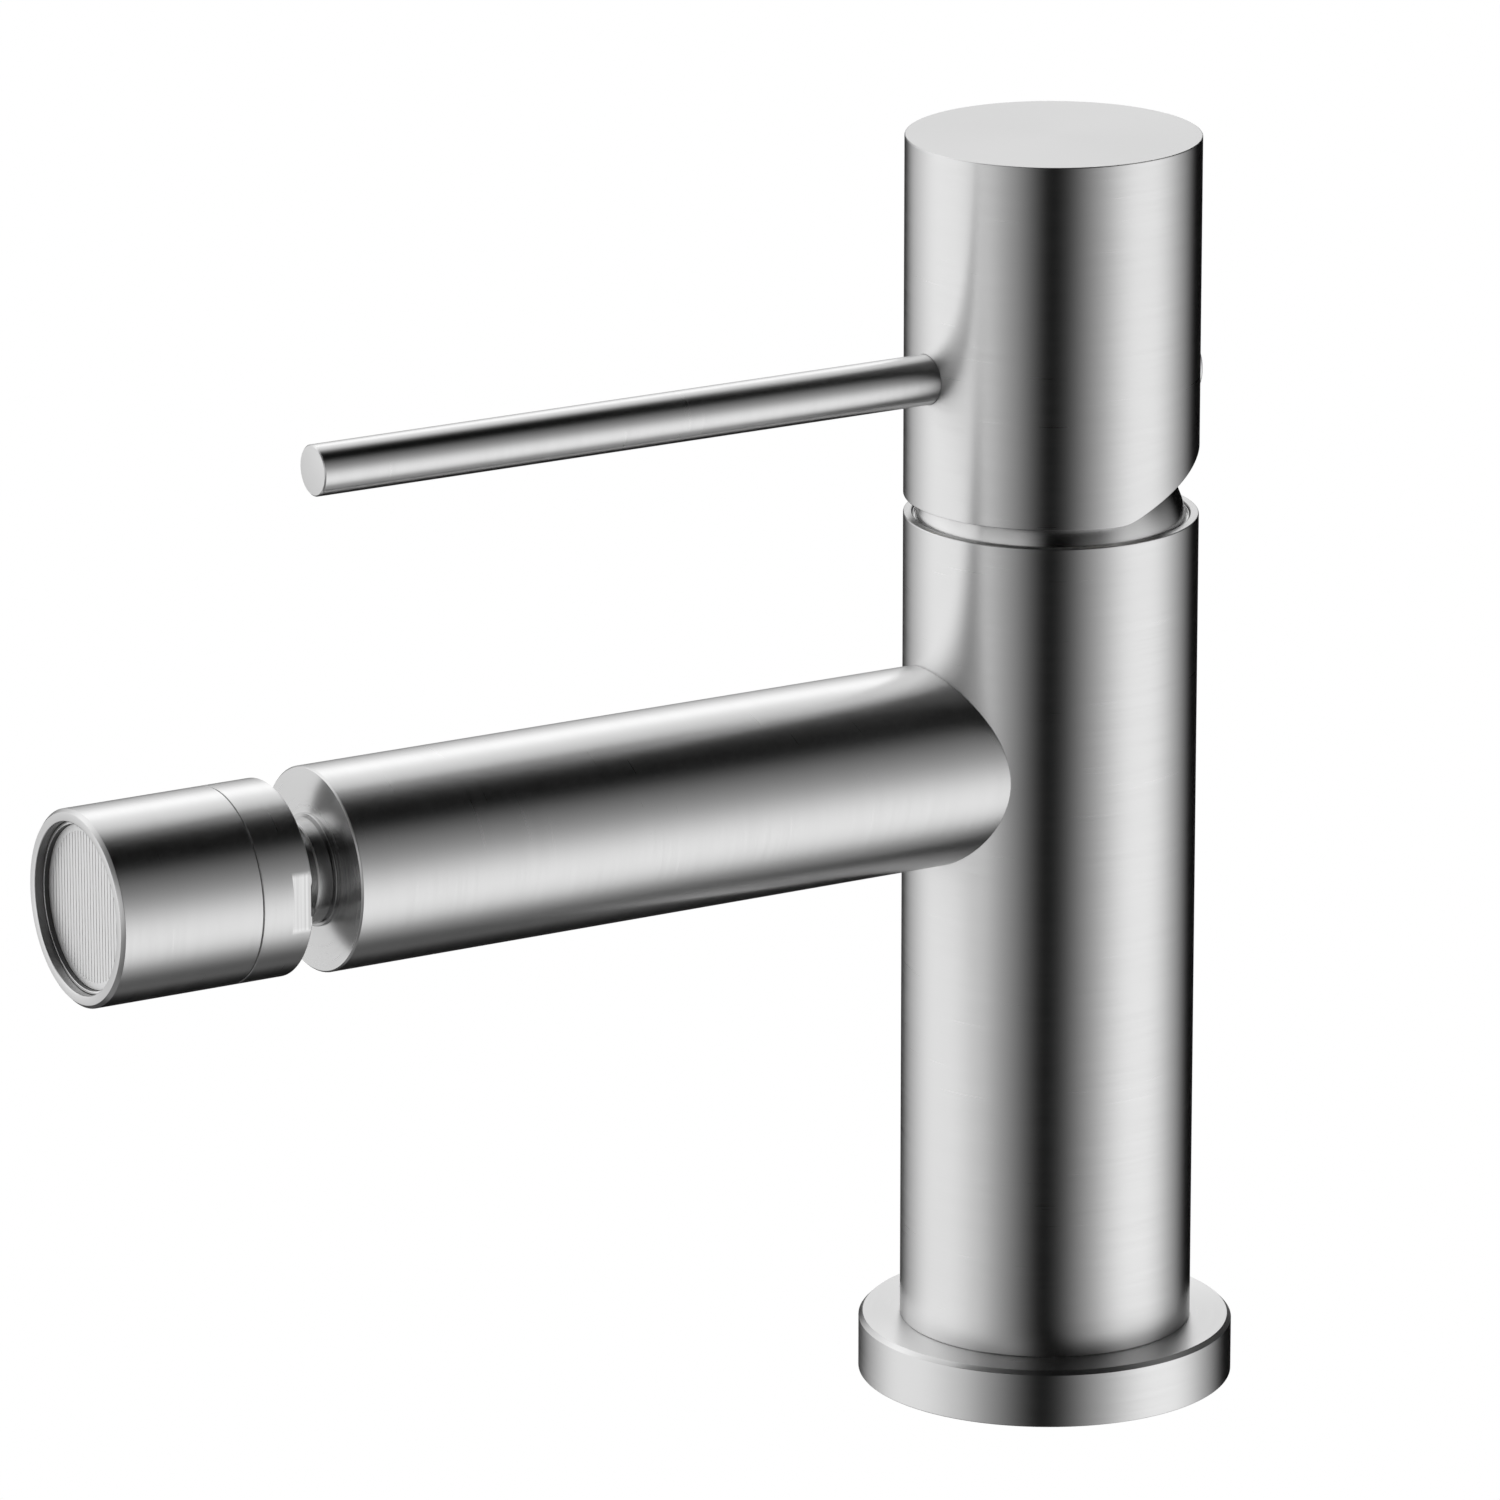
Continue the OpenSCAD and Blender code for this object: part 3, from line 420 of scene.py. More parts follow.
finishes = {
    "black_rubber": plain_finish("rubber", (0.018, 0.018, 0.018), 0.62, drift=0.006),
    "white_plastic": plain_finish("white_moulding", (0.78, 0.78, 0.75), 0.42),
    "grey_plastic": plain_finish("grey_moulding", (0.27, 0.28, 0.30), 0.45),
    "red_plastic": plain_finish("red_moulding", (0.52, 0.03, 0.02), 0.40, drift=0.02),
    "ceramic": plain_finish("lapped_ceramic", (0.84, 0.83, 0.78), 0.14, grain=0.15 * MM),
    "machined_brass": plain_finish("machined_brass", (0.78, 0.57, 0.26), 0.30, metallic=1.0),
    "plain_steel": plain_finish("machined_steel", (0.58, 0.58, 0.57), 0.32, metallic=1.0),
}
screen_steel = plain_finish("screen_steel", (0.88, 0.88, 0.88), 0.50, metallic=1.0, drift=0.01)
# Painted shade: the insert's near-black colour stands for the shade inside the nozzle's recess.
insert_painted_shade = plain_finish("insert_moulding_painted_shade", (0.09, 0.09, 0.09), 0.40, drift=0.01)
# Painted highlight: a pale steel for the insert lip's front faces, standing for the light line on its edge.
lip_painted_highlight = plain_finish("lip_painted_highlight", (0.90, 0.90, 0.90), 0.30, metallic=1.0, drift=0.01)
print("other finishes:", len(finishes) + 3)

# %% [markdown]
# Every node of the construction that isn't rebuilt below keeps its own mesh and takes
# the finish that the record names for it. Two take another one: the screen is a paler
# steel, and what lies behind it is pale, so that its slits show only as faint lines.

# %% Dress the nodes that stay
slots = {part["node"]: part["material_slot"] for part in frame["record"]["subparts"]}
steels = {
    "brushed_body": body_brushing, "brushed_rod": rod_brushing,
    "nozzle_steel": nozzle_brushing, "bright_steel": fine_turning,
}
for node, piece in frame["nodes"].items():
    piece.data.materials.clear()
    piece.data.materials.append(finishes.get(slots[node]) or steels[slots[node]])
frame["nodes"]["outlet_screen"].data.materials[0] = screen_steel
frame["nodes"]["flow_straightener"].data.materials[0] = finishes["white_plastic"]
print("dressed", len(frame["nodes"]), "nodes")

# %% [markdown]
# ## The flange and its seal
# The flange is a flat turned ring that covers the deck hole. Its upper edge has a half
# millimetre bevel, which shows as a bright line. Underneath runs a groove for the seal.

# %% Flange and seal
flange_bevel = 0.5 * MM
spigot_bore_r = 15.6 * MM
seal_outer, _, seal_top = box_of("base_seal")[1]
seal_width = 2.4 * MM
seal_inner = seal_outer - seal_width
groove_play = 0.05 * MM
groove_top = seal_top + 0.1 * MM
flange = skin("flange", spun([
    (seal_inner - groove_play, 0), (seal_inner - groove_play, groove_top),
    (seal_outer + groove_play, groove_top), (seal_outer + groove_play, 0),
    (flange_r, 0, 0.12 * MM), (flange_r, flange_top - flange_bevel, 0.08 * MM),
    (flange_r - flange_bevel, flange_top, 0.06 * MM),
    (spigot_bore_r, flange_top), (spigot_bore_r, 0)]), hollow=True)
fit_out(flange, "root", "base_flange", [body_brushing])
seal = skin("deck_seal", spun([
    (seal_inner, 0, 0.2 * MM), (seal_outer, 0, 0.2 * MM),
    (seal_outer, seal_top, 0.3 * MM), (seal_inner, seal_top, 0.3 * MM)]), hollow=True)
fit_out(seal, "root", "base_seal", [finishes["black_rubber"]])

# %% [markdown]
# ## The column
# One solid bar, turned outside and bored from above for the cartridge. Its foot stands
# on the flange with a bevel so small that it reads as a dark hairline, and its top ends
# in a thin rim round the bonnet. The holes for stud, hoses and water aren't all on the
# axis, so they are cut afterwards with booleans. An exact boolean leaves stray faces
# where edges nearly touch or lengths are tiny. So each cutter is turned a little, and
# the cut is made in millimetres. A count of open edges, printed for each piece, tells
# whether it went well.

# %% Column
foot_bevel = 0.2 * MM
rim_bevel = 0.15 * MM
spigot_r = 15.5 * MM
lip_bore_r = body_r - 1.0 * MM
ledge_z = box_of("bonnet_gasket")[0][2]
nut_low, nut_high = box_of("cartridge_nut")
nut_bore_r = nut_high[0] + 0.05 * MM
nut_z = nut_low[2]
seat_r = box_of("cartridge_housing")[1][0] + 0.1 * MM
seat_z = box_of("cartridge_port_seals")[0][2]
outlet_room = 7 * MM
column = skin("column", spun([
    (0, 0), (spigot_r, 0, 0.3 * MM), (spigot_r, flange_top),
    (body_r, flange_top, foot_bevel), (body_r, spout_z - outlet_room),
    (body_r, spout_z + outlet_room), (body_r, rim_z, rim_bevel),
    (lip_bore_r, rim_z, 0.1 * MM), (lip_bore_r, ledge_z), (nut_bore_r, ledge_z),
    (nut_bore_r, nut_z), (seat_r, nut_z), (seat_r, seat_z), (0, seat_z)]))


def bore(radius, start, end, x=0.0, y=0.0, sides=64):
    """Rings of a round cutter, turned a little so that its corners miss the piece's edges."""
    turned = 0.02
    turns = np.arange(sides) * 2 * math.pi / sides + turned
    ring = np.stack([x + radius * np.cos(turns), y + radius * np.sin(turns), 0 * turns], 1)
    lift = np.array([0, 0, 1])
    return [np.array([[x, y, start]]), ring + start * lift, ring + end * lift, np.array([[x, y, end]])]


def drill(name, x, y, radius, bottom, top):
    """A round cutter that stands upright."""
    return skin(name, bore(radius, bottom, top, x, y))


past = 1 * MM
stud_r = frame["record"]["mounts"][0]["dims"]["r_mm"] * MM
stud_depth = 16 * MM
inlet_x, inlet_y = 8.5 * MM, 4.0 * MM
inlet_r, inlet_depth = 4.5 * MM, 14 * MM
feed_x, feed_y, feed_r = 4.6 * MM, 5 * MM, 2.3 * MM
outlet_y, outlet_r = -5.6 * MM, 2.4 * MM
outlet_z = spout_z - 1.9 * MM
waterway_r, waterway_start = 3.2 * MM, 2.2 * MM
cutters = [drill("stud_thread", 0, 0, stud_r, -past, stud_depth)]
for side in (-1, 1):
    cutters.append(drill("hose_thread", side * inlet_x, inlet_y, inlet_r, -past, inlet_depth))
    cutters.append(drill("feed", side * feed_x, feed_y, feed_r, inlet_depth - past, seat_z + past))
cutters.append(drill("outlet", 0, outlet_y, outlet_r, outlet_z, seat_z + past))
waterway = bore(waterway_r, waterway_start, body_r + past)
cutters.append(skin("waterway", [forwards(ring, outlet_z) for ring in waterway]))
carve(column, cutters)
fit_out(column, "root", "body_column", [body_brushing])

# %% [markdown]
# ## The spout
# A tube that is coped onto the column: each point of its rear ring moves back until it
# meets the column's wall, y = -sqrt(R^2 - x^2). The front end is solid round the nozzle's
# thread, and its flat face shows a fan of light, as faces turned on a lathe do.

# %% Spout
spout_bevel = 0.2 * MM
join_bevel = 0.15 * MM
spout_bore_r = spout_r - 2 * MM
thread_r = 4.9 * MM
thread_y = spout_reach - 10 * MM


def coped(radius, gap=0.0):
    """A ring that lies on the column's wall, or a gap in front of it."""
    across = radius * np.cos(angles)
    return circle(radius, np.sqrt((body_r + gap) ** 2 - across ** 2))


front = spun([(spout_r, 0), (spout_r, spout_reach - spout_bevel, 0.1 * MM),
              (spout_r - spout_bevel, spout_reach, 0.04 * MM), (thread_r, spout_reach),
              (thread_r, thread_y), (spout_bore_r, thread_y), (spout_bore_r, 0)])[1:-1]
rings = [coped(spout_bore_r), coped(spout_r - join_bevel), coped(spout_r, join_bevel)] + front
spout = skin("spout", [forwards(ring, spout_z) for ring in rings], hollow=True)
repaint(spout, lambda c: -c.y > spout_reach - 0.01 * MM)
fit_out(spout, "root", "spout_tube", [body_brushing, face_turning])

# %% [markdown]
# ## Bonnet, washer and the ball's stem
# Between column and handle sits a smooth turned dome whose centre is the handle's pivot,
# so the gap keeps its width as the lever tilts. A narrow groove at the dome's foot
# draws the dark line inside the column's rim. Behind the nozzle a collar and a washer
# show, then a short neck and the ball that the nozzle turns on.

# %% Bonnet
bonnet_low, bonnet_high = box_of("bonnet_dome")
lip_r, lip_z = bonnet_high[0], bonnet_low[2]
lip_top = rim_z - 0.2 * MM
pivot_z = frame["joints"][0]["pos_m"][2]
dome_mouth_r = 11 * MM
dome_wall = 1.7 * MM
collar_bore_r = 13.3 * MM
collar_bore_top = nut_high[2] + 0.3 * MM


def dome_arc(radius, start, end, steps=24):
    """Points of the dome from one radius to another, centred on the pivot."""
    first, last = math.acos(start / radius), math.acos(end / radius)
    turns = np.linspace(first, last, steps + 1)
    return [(radius * math.cos(t), pivot_z + radius * math.sin(t)) for t in turns]


groove_depth, groove_width = 0.35 * MM, 0.22 * MM
foot_z = lip_top - groove_depth
dome_foot_r = math.sqrt(lip_r ** 2 - (foot_z - pivot_z) ** 2)
groove_r = dome_foot_r + groove_width
inner_dome_r = lip_r - dome_wall
inner_foot_r = math.sqrt(inner_dome_r ** 2 - (collar_bore_top - pivot_z) ** 2)
bonnet = skin("bonnet", spun(
    [(lip_r, lip_z), (lip_r, lip_top, 0.1 * MM), (groove_r, lip_top, 0.05 * MM), (groove_r, foot_z)]
    + dome_arc(lip_r, dome_foot_r, dome_mouth_r)
    + dome_arc(inner_dome_r, dome_mouth_r, min(inner_foot_r, collar_bore_r))
    + [(collar_bore_r, collar_bore_top), (collar_bore_r, lip_z)]), hollow=True)
fit_out(bonnet, "root", "bonnet_dome", [dome_turning])

# %% Stem and washer
ball_reach = -frame["joints"][3]["pos_m"][1]
stem_low, stem_high = box_of("ball_stem")
ball_r = stem_high[0]
ball_front = -stem_low[1]
stem_back = -stem_high[1]
stem_r, stem_bore_r = 4.5 * MM, 2.8 * MM
stem_thread_r = 4.85 * MM
washer_low, washer_high = box_of("stem_washer")
washer_r, washer_front = washer_high[0], -washer_low[1]
collar_r, collar_front = 6.25 * MM, spout_reach + 2.5 * MM
collar_back_bevel, collar_bevel = 0.35 * MM, 0.2 * MM
key_back = ball_front - 4 * MM
key_flat = 3 * MM
neck_meets_ball = ball_reach - math.sqrt(ball_r ** 2 - stem_r ** 2)
ball_face_r = math.sqrt(ball_r ** 2 - (ball_front - ball_reach) ** 2)
back_turn = math.asin((neck_meets_ball - ball_reach) / ball_r)
front_turn = math.asin((ball_front - ball_reach) / ball_r)
ball_arc = [(ball_r * math.cos(t), ball_reach + ball_r * math.sin(t))
            for t in np.linspace(back_turn, front_turn, 33)]
hexagon_r = key_flat / np.cos((angles + math.pi / 6) % (math.pi / 3) - math.pi / 6)
ball_edge_r = np.maximum(ball_face_r, hexagon_r + 0.01 * MM)


def on_ball(radius):
    """A ring on the ball, no further forward than its flat front."""
    return circle(radius, np.minimum(ball_front, ball_reach + np.sqrt(ball_r ** 2 - radius ** 2)))


stem_rings = spun([
    (stem_bore_r, stem_back), (stem_thread_r, stem_back), (stem_thread_r, washer_front),
    (collar_r - collar_back_bevel, washer_front),
    (collar_r, washer_front + collar_back_bevel, 0.08 * MM),
    (collar_r, collar_front - collar_bevel, 0.06 * MM),
    (collar_r - collar_bevel, collar_front, 0.05 * MM),
    (stem_r, collar_front)] + ball_arc[:-1])
stem_rings += [on_ball(ball_edge_r), on_ball(hexagon_r)]
stem_rings += [circle(hexagon_r, key_back), circle(stem_bore_r, key_back)]
stem = skin("nozzle_stem", [forwards(ring, spout_z) for ring in stem_rings], hollow=True)
fit_out(stem, "root", "ball_stem", [fine_turning])
washer = skin("thin_washer", [forwards(ring, spout_z) for ring in spun([
    (thread_r, spout_reach), (washer_r, spout_reach, 0.08 * MM),
    (washer_r, washer_front, 0.08 * MM), (thread_r, washer_front)])], hollow=True)
fit_out(washer, "root", "stem_washer", [fine_turning])

# %% [markdown]
# ## The nozzle
# Two turned parts screwed together, so a hairline seam runs round the nozzle. The rear
# ring has two flats for a spanner, made by stopping its rings at the flats' distance
# from the axis. Inside, its seat follows the ball and opens into a cone behind, which
# leaves room for the swing. The front shell ends in a flat bevel round the aerator.

# %% Rear ring with its flats
ring_low, ring_high = box_of("swivel_ring")
nozzle_r = ring_high[0]
ring_back = -ring_high[1]
shell_low, shell_high = box_of("nozzle_shell")
seam_y, nozzle_front = -shell_high[1], -shell_low[1]
flats_half = nozzle_r - 0.5 * MM
flats_end = ring_back + 2.7 * MM
seat_sphere_r = 7.94 * MM
mouth_r, throat_r = 7.51 * MM, 7.03 * MM
throat_y = ball_reach - 3.5 * MM
spigot_end = -ring_low[1]
spigot_thread_r = nozzle_r - 2 * MM
seam_bevel, seam_gap, seam_depth = 0.08 * MM, 0.15 * MM, 0.35 * MM
back_bevel = 0.35 * MM


def clipped(ring):
    """Stops a ring at the two flats."""
    stopped = ring.copy()
    stopped[:, 0] = np.clip(stopped[:, 0], -flats_half, flats_half)
    return stopped


flare = (mouth_r - throat_r) / (throat_y - ring_back)
throat_depth = ball_reach - throat_y
seat_steep = throat_depth / math.sqrt(seat_sphere_r ** 2 - throat_depth ** 2)
seat_end = throat_y - 0.1 * MM / (flare + seat_steep)
seat_start = math.asin((seat_end - ball_reach) / seat_sphere_r)
seat_arc = [(seat_sphere_r * math.cos(t), ball_reach + seat_sphere_r * math.sin(t))
            for t in np.linspace(0, seat_start, 17)]
outside = spun([(nozzle_r - back_bevel, ring_back, 0.1 * MM),
                (nozzle_r, ring_back + back_bevel, 0.1 * MM), (nozzle_r, flats_end)])[:-1]
outside += [circle(nozzle_r, flats_end)]
inside = spun([(nozzle_r, flats_end), (nozzle_r, seam_y - seam_gap, seam_bevel),
               (nozzle_r - seam_depth, seam_y - seam_gap), (nozzle_r - seam_depth, seam_y),
               (spigot_thread_r, seam_y), (spigot_thread_r, spigot_end),
               (seat_sphere_r, spigot_end)] + seat_arc
              + [(mouth_r, ring_back)])
ring_rings = [clipped(ring) for ring in outside] + inside
rear_ring = skin("nozzle_rear_ring", [forwards(ring, spout_z) for ring in ring_rings], hollow=True)
repaint(rear_ring, lambda c: abs(abs(c.x) - flats_half) < 0.001 * MM, across=lambda c: (-c.y, c.z))
fit_out(rear_ring, "nozzle", "swivel_ring", [nozzle_brushing, flat_brushing])

# %% Front shell
chamber_r = nozzle_r - 1.5 * MM
chamber_y = -box_of("nozzle_washer")[1][1]
web_y, web_bore_r = chamber_y - 1 * MM, 5 * MM
shell_thread_r, shell_thread_end = spigot_thread_r + 0.05 * MM, spigot_end + 0.2 * MM
front_bevel = 0.42 * MM
shell = skin("nozzle_front", [forwards(ring, spout_z) for ring in spun([
    (shell_thread_r, seam_y), (nozzle_r, seam_y, seam_bevel),
    (nozzle_r, nozzle_front - front_bevel, 0.1 * MM),
    (nozzle_r - front_bevel, nozzle_front, 0.06 * MM), (chamber_r, nozzle_front, 0.15 * MM),
    (chamber_r, chamber_y), (web_bore_r, chamber_y), (web_bore_r, web_y), (seat_sphere_r, web_y),
    (seat_sphere_r, shell_thread_end), (shell_thread_r, shell_thread_end)])], hollow=True)
# The chamber's wall takes the darker steel, painted shade for the recess.
repaint(shell, lambda c: math.hypot(c.x, c.z - spout_z) < chamber_r + 0.01 * MM and -c.y > chamber_y)
fit_out(shell, "nozzle", "nozzle_shell", [nozzle_brushing, bore_painted_shade])

# %% [markdown]
# ## The aerator insert
# A moulded cup that sits in the nozzle's front and carries the screen. Its jet plate
# breaks the water up through a circle of fine holes. From outside only its wall shows.
# Its near-black colour is painted shade for its place deep in the nozzle, and the lip's front faces get a pale
# steel, a painted highlight for the light line on its edge.

# %% Aerator insert
insert_low, insert_high = box_of("aerator_insert")
insert_r, insert_back, insert_front = insert_high[0], -insert_high[1], -insert_low[1]
screen_back = -box_of("outlet_screen")[1][1]
insert_lip_r = insert_r - 0.35 * MM
insert_bore_r = insert_r - 1.15 * MM
plate_front = insert_back + 1 * MM
jet_count, jet_r, jet_circle_r = 12, 0.5 * MM, 4.5 * MM
insert = skin("aerator_cup", [forwards(ring, spout_z) for ring in spun([
    (0, insert_back), (insert_r, insert_back, 0.2 * MM), (insert_r, insert_front, 0.05 * MM),
    (insert_lip_r, insert_front, 0.05 * MM), (insert_lip_r, screen_back), (insert_bore_r, screen_back),
    (insert_bore_r, plate_front), (0, plate_front)])])
jets = []
for i in range(jet_count):
    turn = i * 2 * math.pi / jet_count
    jet = bore(jet_r, insert_back - past, plate_front + past,
               jet_circle_r * math.cos(turn), jet_circle_r * math.sin(turn), sides=32)
    jets.append(skin("jet", [forwards(ring, spout_z) for ring in jet]))
carve(insert, jets)
# The front faces take the pale steel, a painted highlight on the lip's edge.
repaint(insert, lambda c: -c.y > insert_front - 0.06 * MM)
fit_out(insert, "nozzle", "aerator_insert", [insert_painted_shade, lip_painted_highlight])

# %% [markdown]
# ## The handle cap
# A turned shell, open below. Its lower rim is level in front and rises behind at the
# full tilt, so that it clears the column when the lever is lifted. The rim's height is
# therefore a function of y, with a soft bend between the two straight stretches. The
# holes for rod and plug are cut afterwards.

# %% Handle cap
tilt = math.radians(frame["joints"][1]["range_deg"][1])
cap_wall = 1.5 * MM
cap_inner_r = body_r - cap_wall
ceiling_z = cap_top - 3 * MM
slope_y, bend_r = -0.3 * MM, 7 * MM
bend_start = slope_y - bend_r * math.tan(tilt / 2)
bend_end = bend_start + bend_r * math.sin(tilt)


def rim_height(y):
    """Height of the cap's lower rim at each y."""
    into = np.clip(y - bend_start, 0, bend_r * math.sin(tilt))
    bent = cap_z + bend_r - np.sqrt(bend_r ** 2 - into ** 2)
    return bent + np.maximum(y - bend_end, 0) * math.tan(tilt)


def rim_ring(radius, above):
    """A ring of the rim, some way above its lower edge."""
    return circle(radius, rim_height(radius * np.sin(angles)) + above)


edge = 0.15 * MM
hole_room = 6 * MM
cap_rings = spun([(0, ceiling_z), (cap_inner_r, ceiling_z)])
cap_rings += [circle(cap_inner_r, rod_z + hole_room), circle(cap_inner_r, rod_z - hole_room)]
cap_rings += [rim_ring(cap_inner_r, 0), rim_ring(body_r - edge, 0)]
cap_rings += [rim_ring(body_r - 0.3 * edge, 0.3 * edge), rim_ring(body_r, edge)]
cap_rings += spun([(body_r, rod_z - hole_room), (body_r, rod_z + hole_room),
                   (body_r, cap_top, edge), (0, cap_top)])
cap = skin("handle_shell", cap_rings)


def through_wall(radius):
    """Rings of a round cutter that passes through the cap's wall."""
    inner, outer = cap_inner_r - past, body_r + past
    return spun([(0, inner), (radius, inner), (radius, outer), (0, outer)])


hole_play = 0.05 * MM
rod_hole = skin("rod_hole", [forwards(ring, rod_z) for ring in through_wall(rod_r + hole_play)])
plug_low, plug_high = box_of("rear_plug")
plug_r, plug_z, plug_face = plug_high[0], (plug_low[2] + plug_high[2]) / 2, plug_high[1]
plug_stem_r = 3 * MM
plug_hole = skin("plug_hole", [backwards(ring, plug_z)
                               for ring in through_wall(plug_stem_r + hole_play)])
carve(cap, [rod_hole, plug_hole])
repaint(cap, lambda c: c.z > cap_top - 0.01 * MM)
fit_out(cap, "handle", "handle_cap", [body_brushing, satin])

# %% [markdown]
# ## Lever rod and rear plug
# The rod is a thin bar with a threaded tail in the handle's core. Its free end has a
# small bevel. The plug's underside is saddled onto the cap, like the spout's rear end.

# %% Rod
rod_tail_r = 2.5 * MM
rod_bevel = 0.15 * MM
rod_tail_start = -rod_high[1]
rod = skin("lever", [forwards(ring, rod_z) for ring in spun([
    (0, rod_tail_start), (rod_tail_r, rod_tail_start, 0.3 * MM), (rod_tail_r, cap_inner_r),
    (rod_r, cap_inner_r), (rod_r, rod_reach - rod_bevel, 0.04 * MM),
    (rod_r - rod_bevel, rod_reach, 0.04 * MM), (0, rod_reach)])])
repaint(rod, lambda c: -c.y > rod_reach - 0.01 * MM)
fit_out(rod, "handle", "lever_rod", [rod_brushing, satin])

# %% Plug
plug_stem_start = plug_low[1]
plug_gap = 0.02 * MM
plug_rings = spun([(0, plug_stem_start), (plug_stem_r, plug_stem_start)])
plug_rings += [coped(plug_stem_r, plug_gap), coped(plug_r, plug_gap)]
plug_rings += spun([(plug_r, body_r), (plug_r, plug_face, 0.4 * MM), (0, plug_face)])[1:]
plug = skin("rear_button", [backwards(ring, plug_z) for ring in plug_rings])
fit_out(plug, "handle", "rear_plug", [body_brushing])

# %% [markdown]
# ## The studio
# Metal shows what stands round it. The world is a dark room with nine soft panels, each
# a patch of light with a wide soft edge, given by its azimuth and elevation. The metal
# sees the panels, while the camera sees plain white behind the object.

# %% Soft panels
PANELS = [
    # azimuth, elevation, half width, half height, softness in degrees, strength
    (148, 20, 12, 20, 15, 0.60),
    (180, 54, 41, 22, 30, 0.76),
    (25, -25, 27, 27, 50, 0.60),
    (45, -12, 22, 45, 36, 0.38),
    (73, -20, 19, 23, 40, 0.52),
    (220, 12, 41, 23, 27, 0.60),
    (242, -20, 38, 16, 50, 0.82),
    (260, -85, 20, 30, 8, 0.14),
    (288, 5, 23, 17, 30, 0.50),
]
world = bpy.data.worlds.new("studio")
bpy.context.scene.world = world
world.use_nodes = True
sky = world.node_tree
sky.nodes.clear()
make = node_row(sky)
toward = make("ShaderNodeTexCoord").outputs["Generated"]


def dot_with(direction):
    """How far the looked-at direction goes along another one."""
    dot = make("ShaderNodeVectorMath", operation="DOT_PRODUCT")
    dot.inputs[1].default_value = direction
    sky.links.new(toward, dot.inputs[0])
    return dot.outputs["Value"]


def calculate(operation, *values):
    """One Math node. Each value is a number or another node's output."""
    node = make("ShaderNodeMath", operation=operation)
    for socket, value in zip(node.inputs, values):
        if isinstance(value, (int, float)):
            socket.default_value = value
        else:
            sky.links.new(value, socket)
    return node.outputs["Value"]


def soft_edge(angle, half, softness):
    """1 inside the half angle, fading to 0 over the softness."""
    edge_node = make("ShaderNodeMapRange", interpolation_type="SMOOTHSTEP")
    edge_node.inputs["From Min"].default_value = math.radians(half + softness / 2)
    edge_node.inputs["From Max"].default_value = math.radians(half - softness / 2)
    sky.links.new(calculate("ABSOLUTE", angle), edge_node.inputs["Value"])
    return edge_node.outputs["Result"]


light = 0.0005
for azimuth, elevation, half_width, half_height, softness, strength in PANELS:
    a, e = math.radians(azimuth), math.radians(elevation)
    ahead = np.array([math.cos(e) * math.cos(a), math.cos(e) * math.sin(a), math.sin(e)])
    right = np.array([-math.sin(a), math.cos(a), 0])
    up = np.cross(ahead, right)
    if up[2] < 0:
        up = -up
    sideways = calculate("ARCTAN2", dot_with(right), dot_with(ahead))
    upwards = calculate("ARCSINE", dot_with(up))
    patch = calculate("MULTIPLY", soft_edge(sideways, half_width, softness),
                      soft_edge(upwards, half_height, softness))
    light = calculate("ADD", calculate("MULTIPLY", patch, strength / STEEL_TONE), light)
seen = make("ShaderNodeLightPath").outputs["Is Camera Ray"]
lit = make("ShaderNodeBackground")
sky.links.new(light, lit.inputs["Color"])
white = make("ShaderNodeBackground")
white.inputs["Color"].default_value = (1, 1, 1, 1)
choose = make("ShaderNodeMixShader")
sky.links.new(seen, choose.inputs["Fac"])
sky.links.new(lit.outputs["Background"], choose.inputs[1])
sky.links.new(white.outputs["Background"], choose.inputs[2])
sky.links.new(choose.outputs["Shader"], make("ShaderNodeOutputWorld").inputs["Surface"])
print("panels:", len(PANELS))

# %% [markdown]
# ## Floor
# A plain white sheet at the level of the deck. It glows evenly, so that the object
# stands on clean white, and it is left out of reflections, because the metal mirrors
# light from below as well. It is clear from underneath, so the flange's lower side
# can be looked at too.

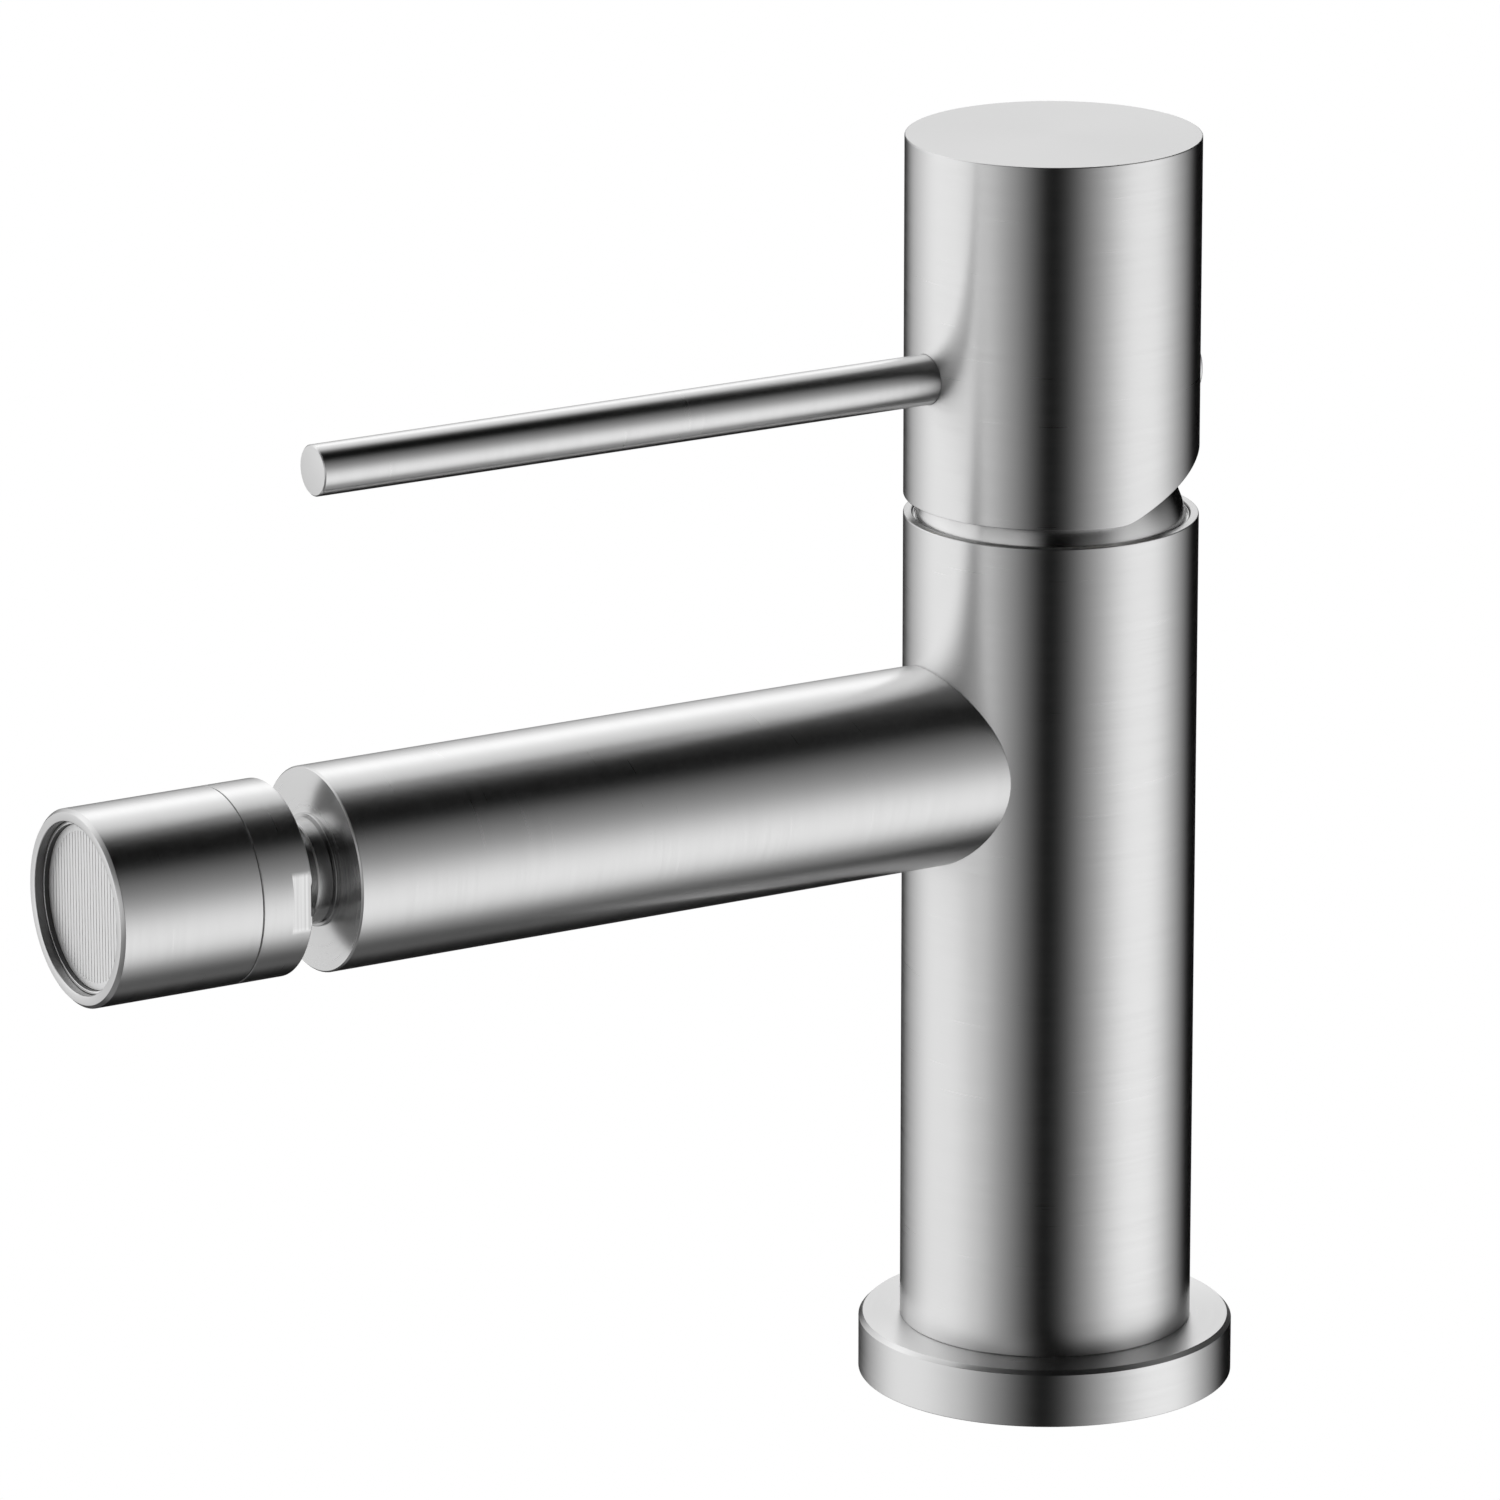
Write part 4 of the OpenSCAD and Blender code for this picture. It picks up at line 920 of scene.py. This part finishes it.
# %% Floor
floor_half = 1.5
floor_mesh = bpy.data.meshes.new("floor")
floor_mesh.from_pydata(
    [(-floor_half, -floor_half, 0), (floor_half, -floor_half, 0),
     (floor_half, floor_half, 0), (-floor_half, floor_half, 0)], [], [(0, 1, 2, 3)])
floor = bpy.data.objects.new("floor", floor_mesh)
bpy.context.scene.collection.objects.link(floor)
floor_paint, floor_tree, floor_make = blank_material("white_sheet")
glow = floor_make("ShaderNodeEmission")
glow.inputs["Color"].default_value = (1, 1, 1, 1)
clear = floor_make("ShaderNodeBsdfTransparent")
side = floor_make("ShaderNodeNewGeometry")
one_sided = floor_make("ShaderNodeMixShader")
floor_tree.links.new(side.outputs["Backfacing"], one_sided.inputs["Fac"])
floor_tree.links.new(glow.outputs["Emission"], one_sided.inputs[1])
floor_tree.links.new(clear.outputs["BSDF"], one_sided.inputs[2])
floor_out = floor_make("ShaderNodeOutputMaterial")
floor_tree.links.new(one_sided.outputs["Shader"], floor_out.inputs["Surface"])
floor_mesh.materials.append(floor_paint)
floor.visible_glossy = False
floor.visible_shadow = False
floor.visible_diffuse = False
print("floor:", 2 * floor_half, "m wide")

# %% [markdown]
# ## Camera
# A long lens from a good metre away, slightly above the object and to its right. Such a
# lens keeps the uprights nearly parallel, as product pictures want them.

# %% Camera
camera_turn, camera_rise = math.radians(59.125), math.radians(16.166)
target = np.array([-18.27, -30.55, 77.44]) * MM
distance = 1320.0 * MM
back = np.array([math.sin(camera_turn) * math.cos(camera_rise),
                 -math.cos(camera_turn) * math.cos(camera_rise), math.sin(camera_rise)])
camera_data = bpy.data.cameras.new("camera")
camera_data.sensor_width = 36
camera_data.lens = 266.1
camera_data.clip_start, camera_data.clip_end = 0.1, 20
camera = bpy.data.objects.new("camera", camera_data)
bpy.context.scene.collection.objects.link(camera)
camera.location = target + back * distance
camera.rotation_euler = (math.pi / 2 - camera_rise, 0, camera_turn)
bpy.context.scene.camera = camera
bpy.context.scene.view_settings.view_transform = "Standard"
print("camera at", [round(x, 4) for x in camera.location])
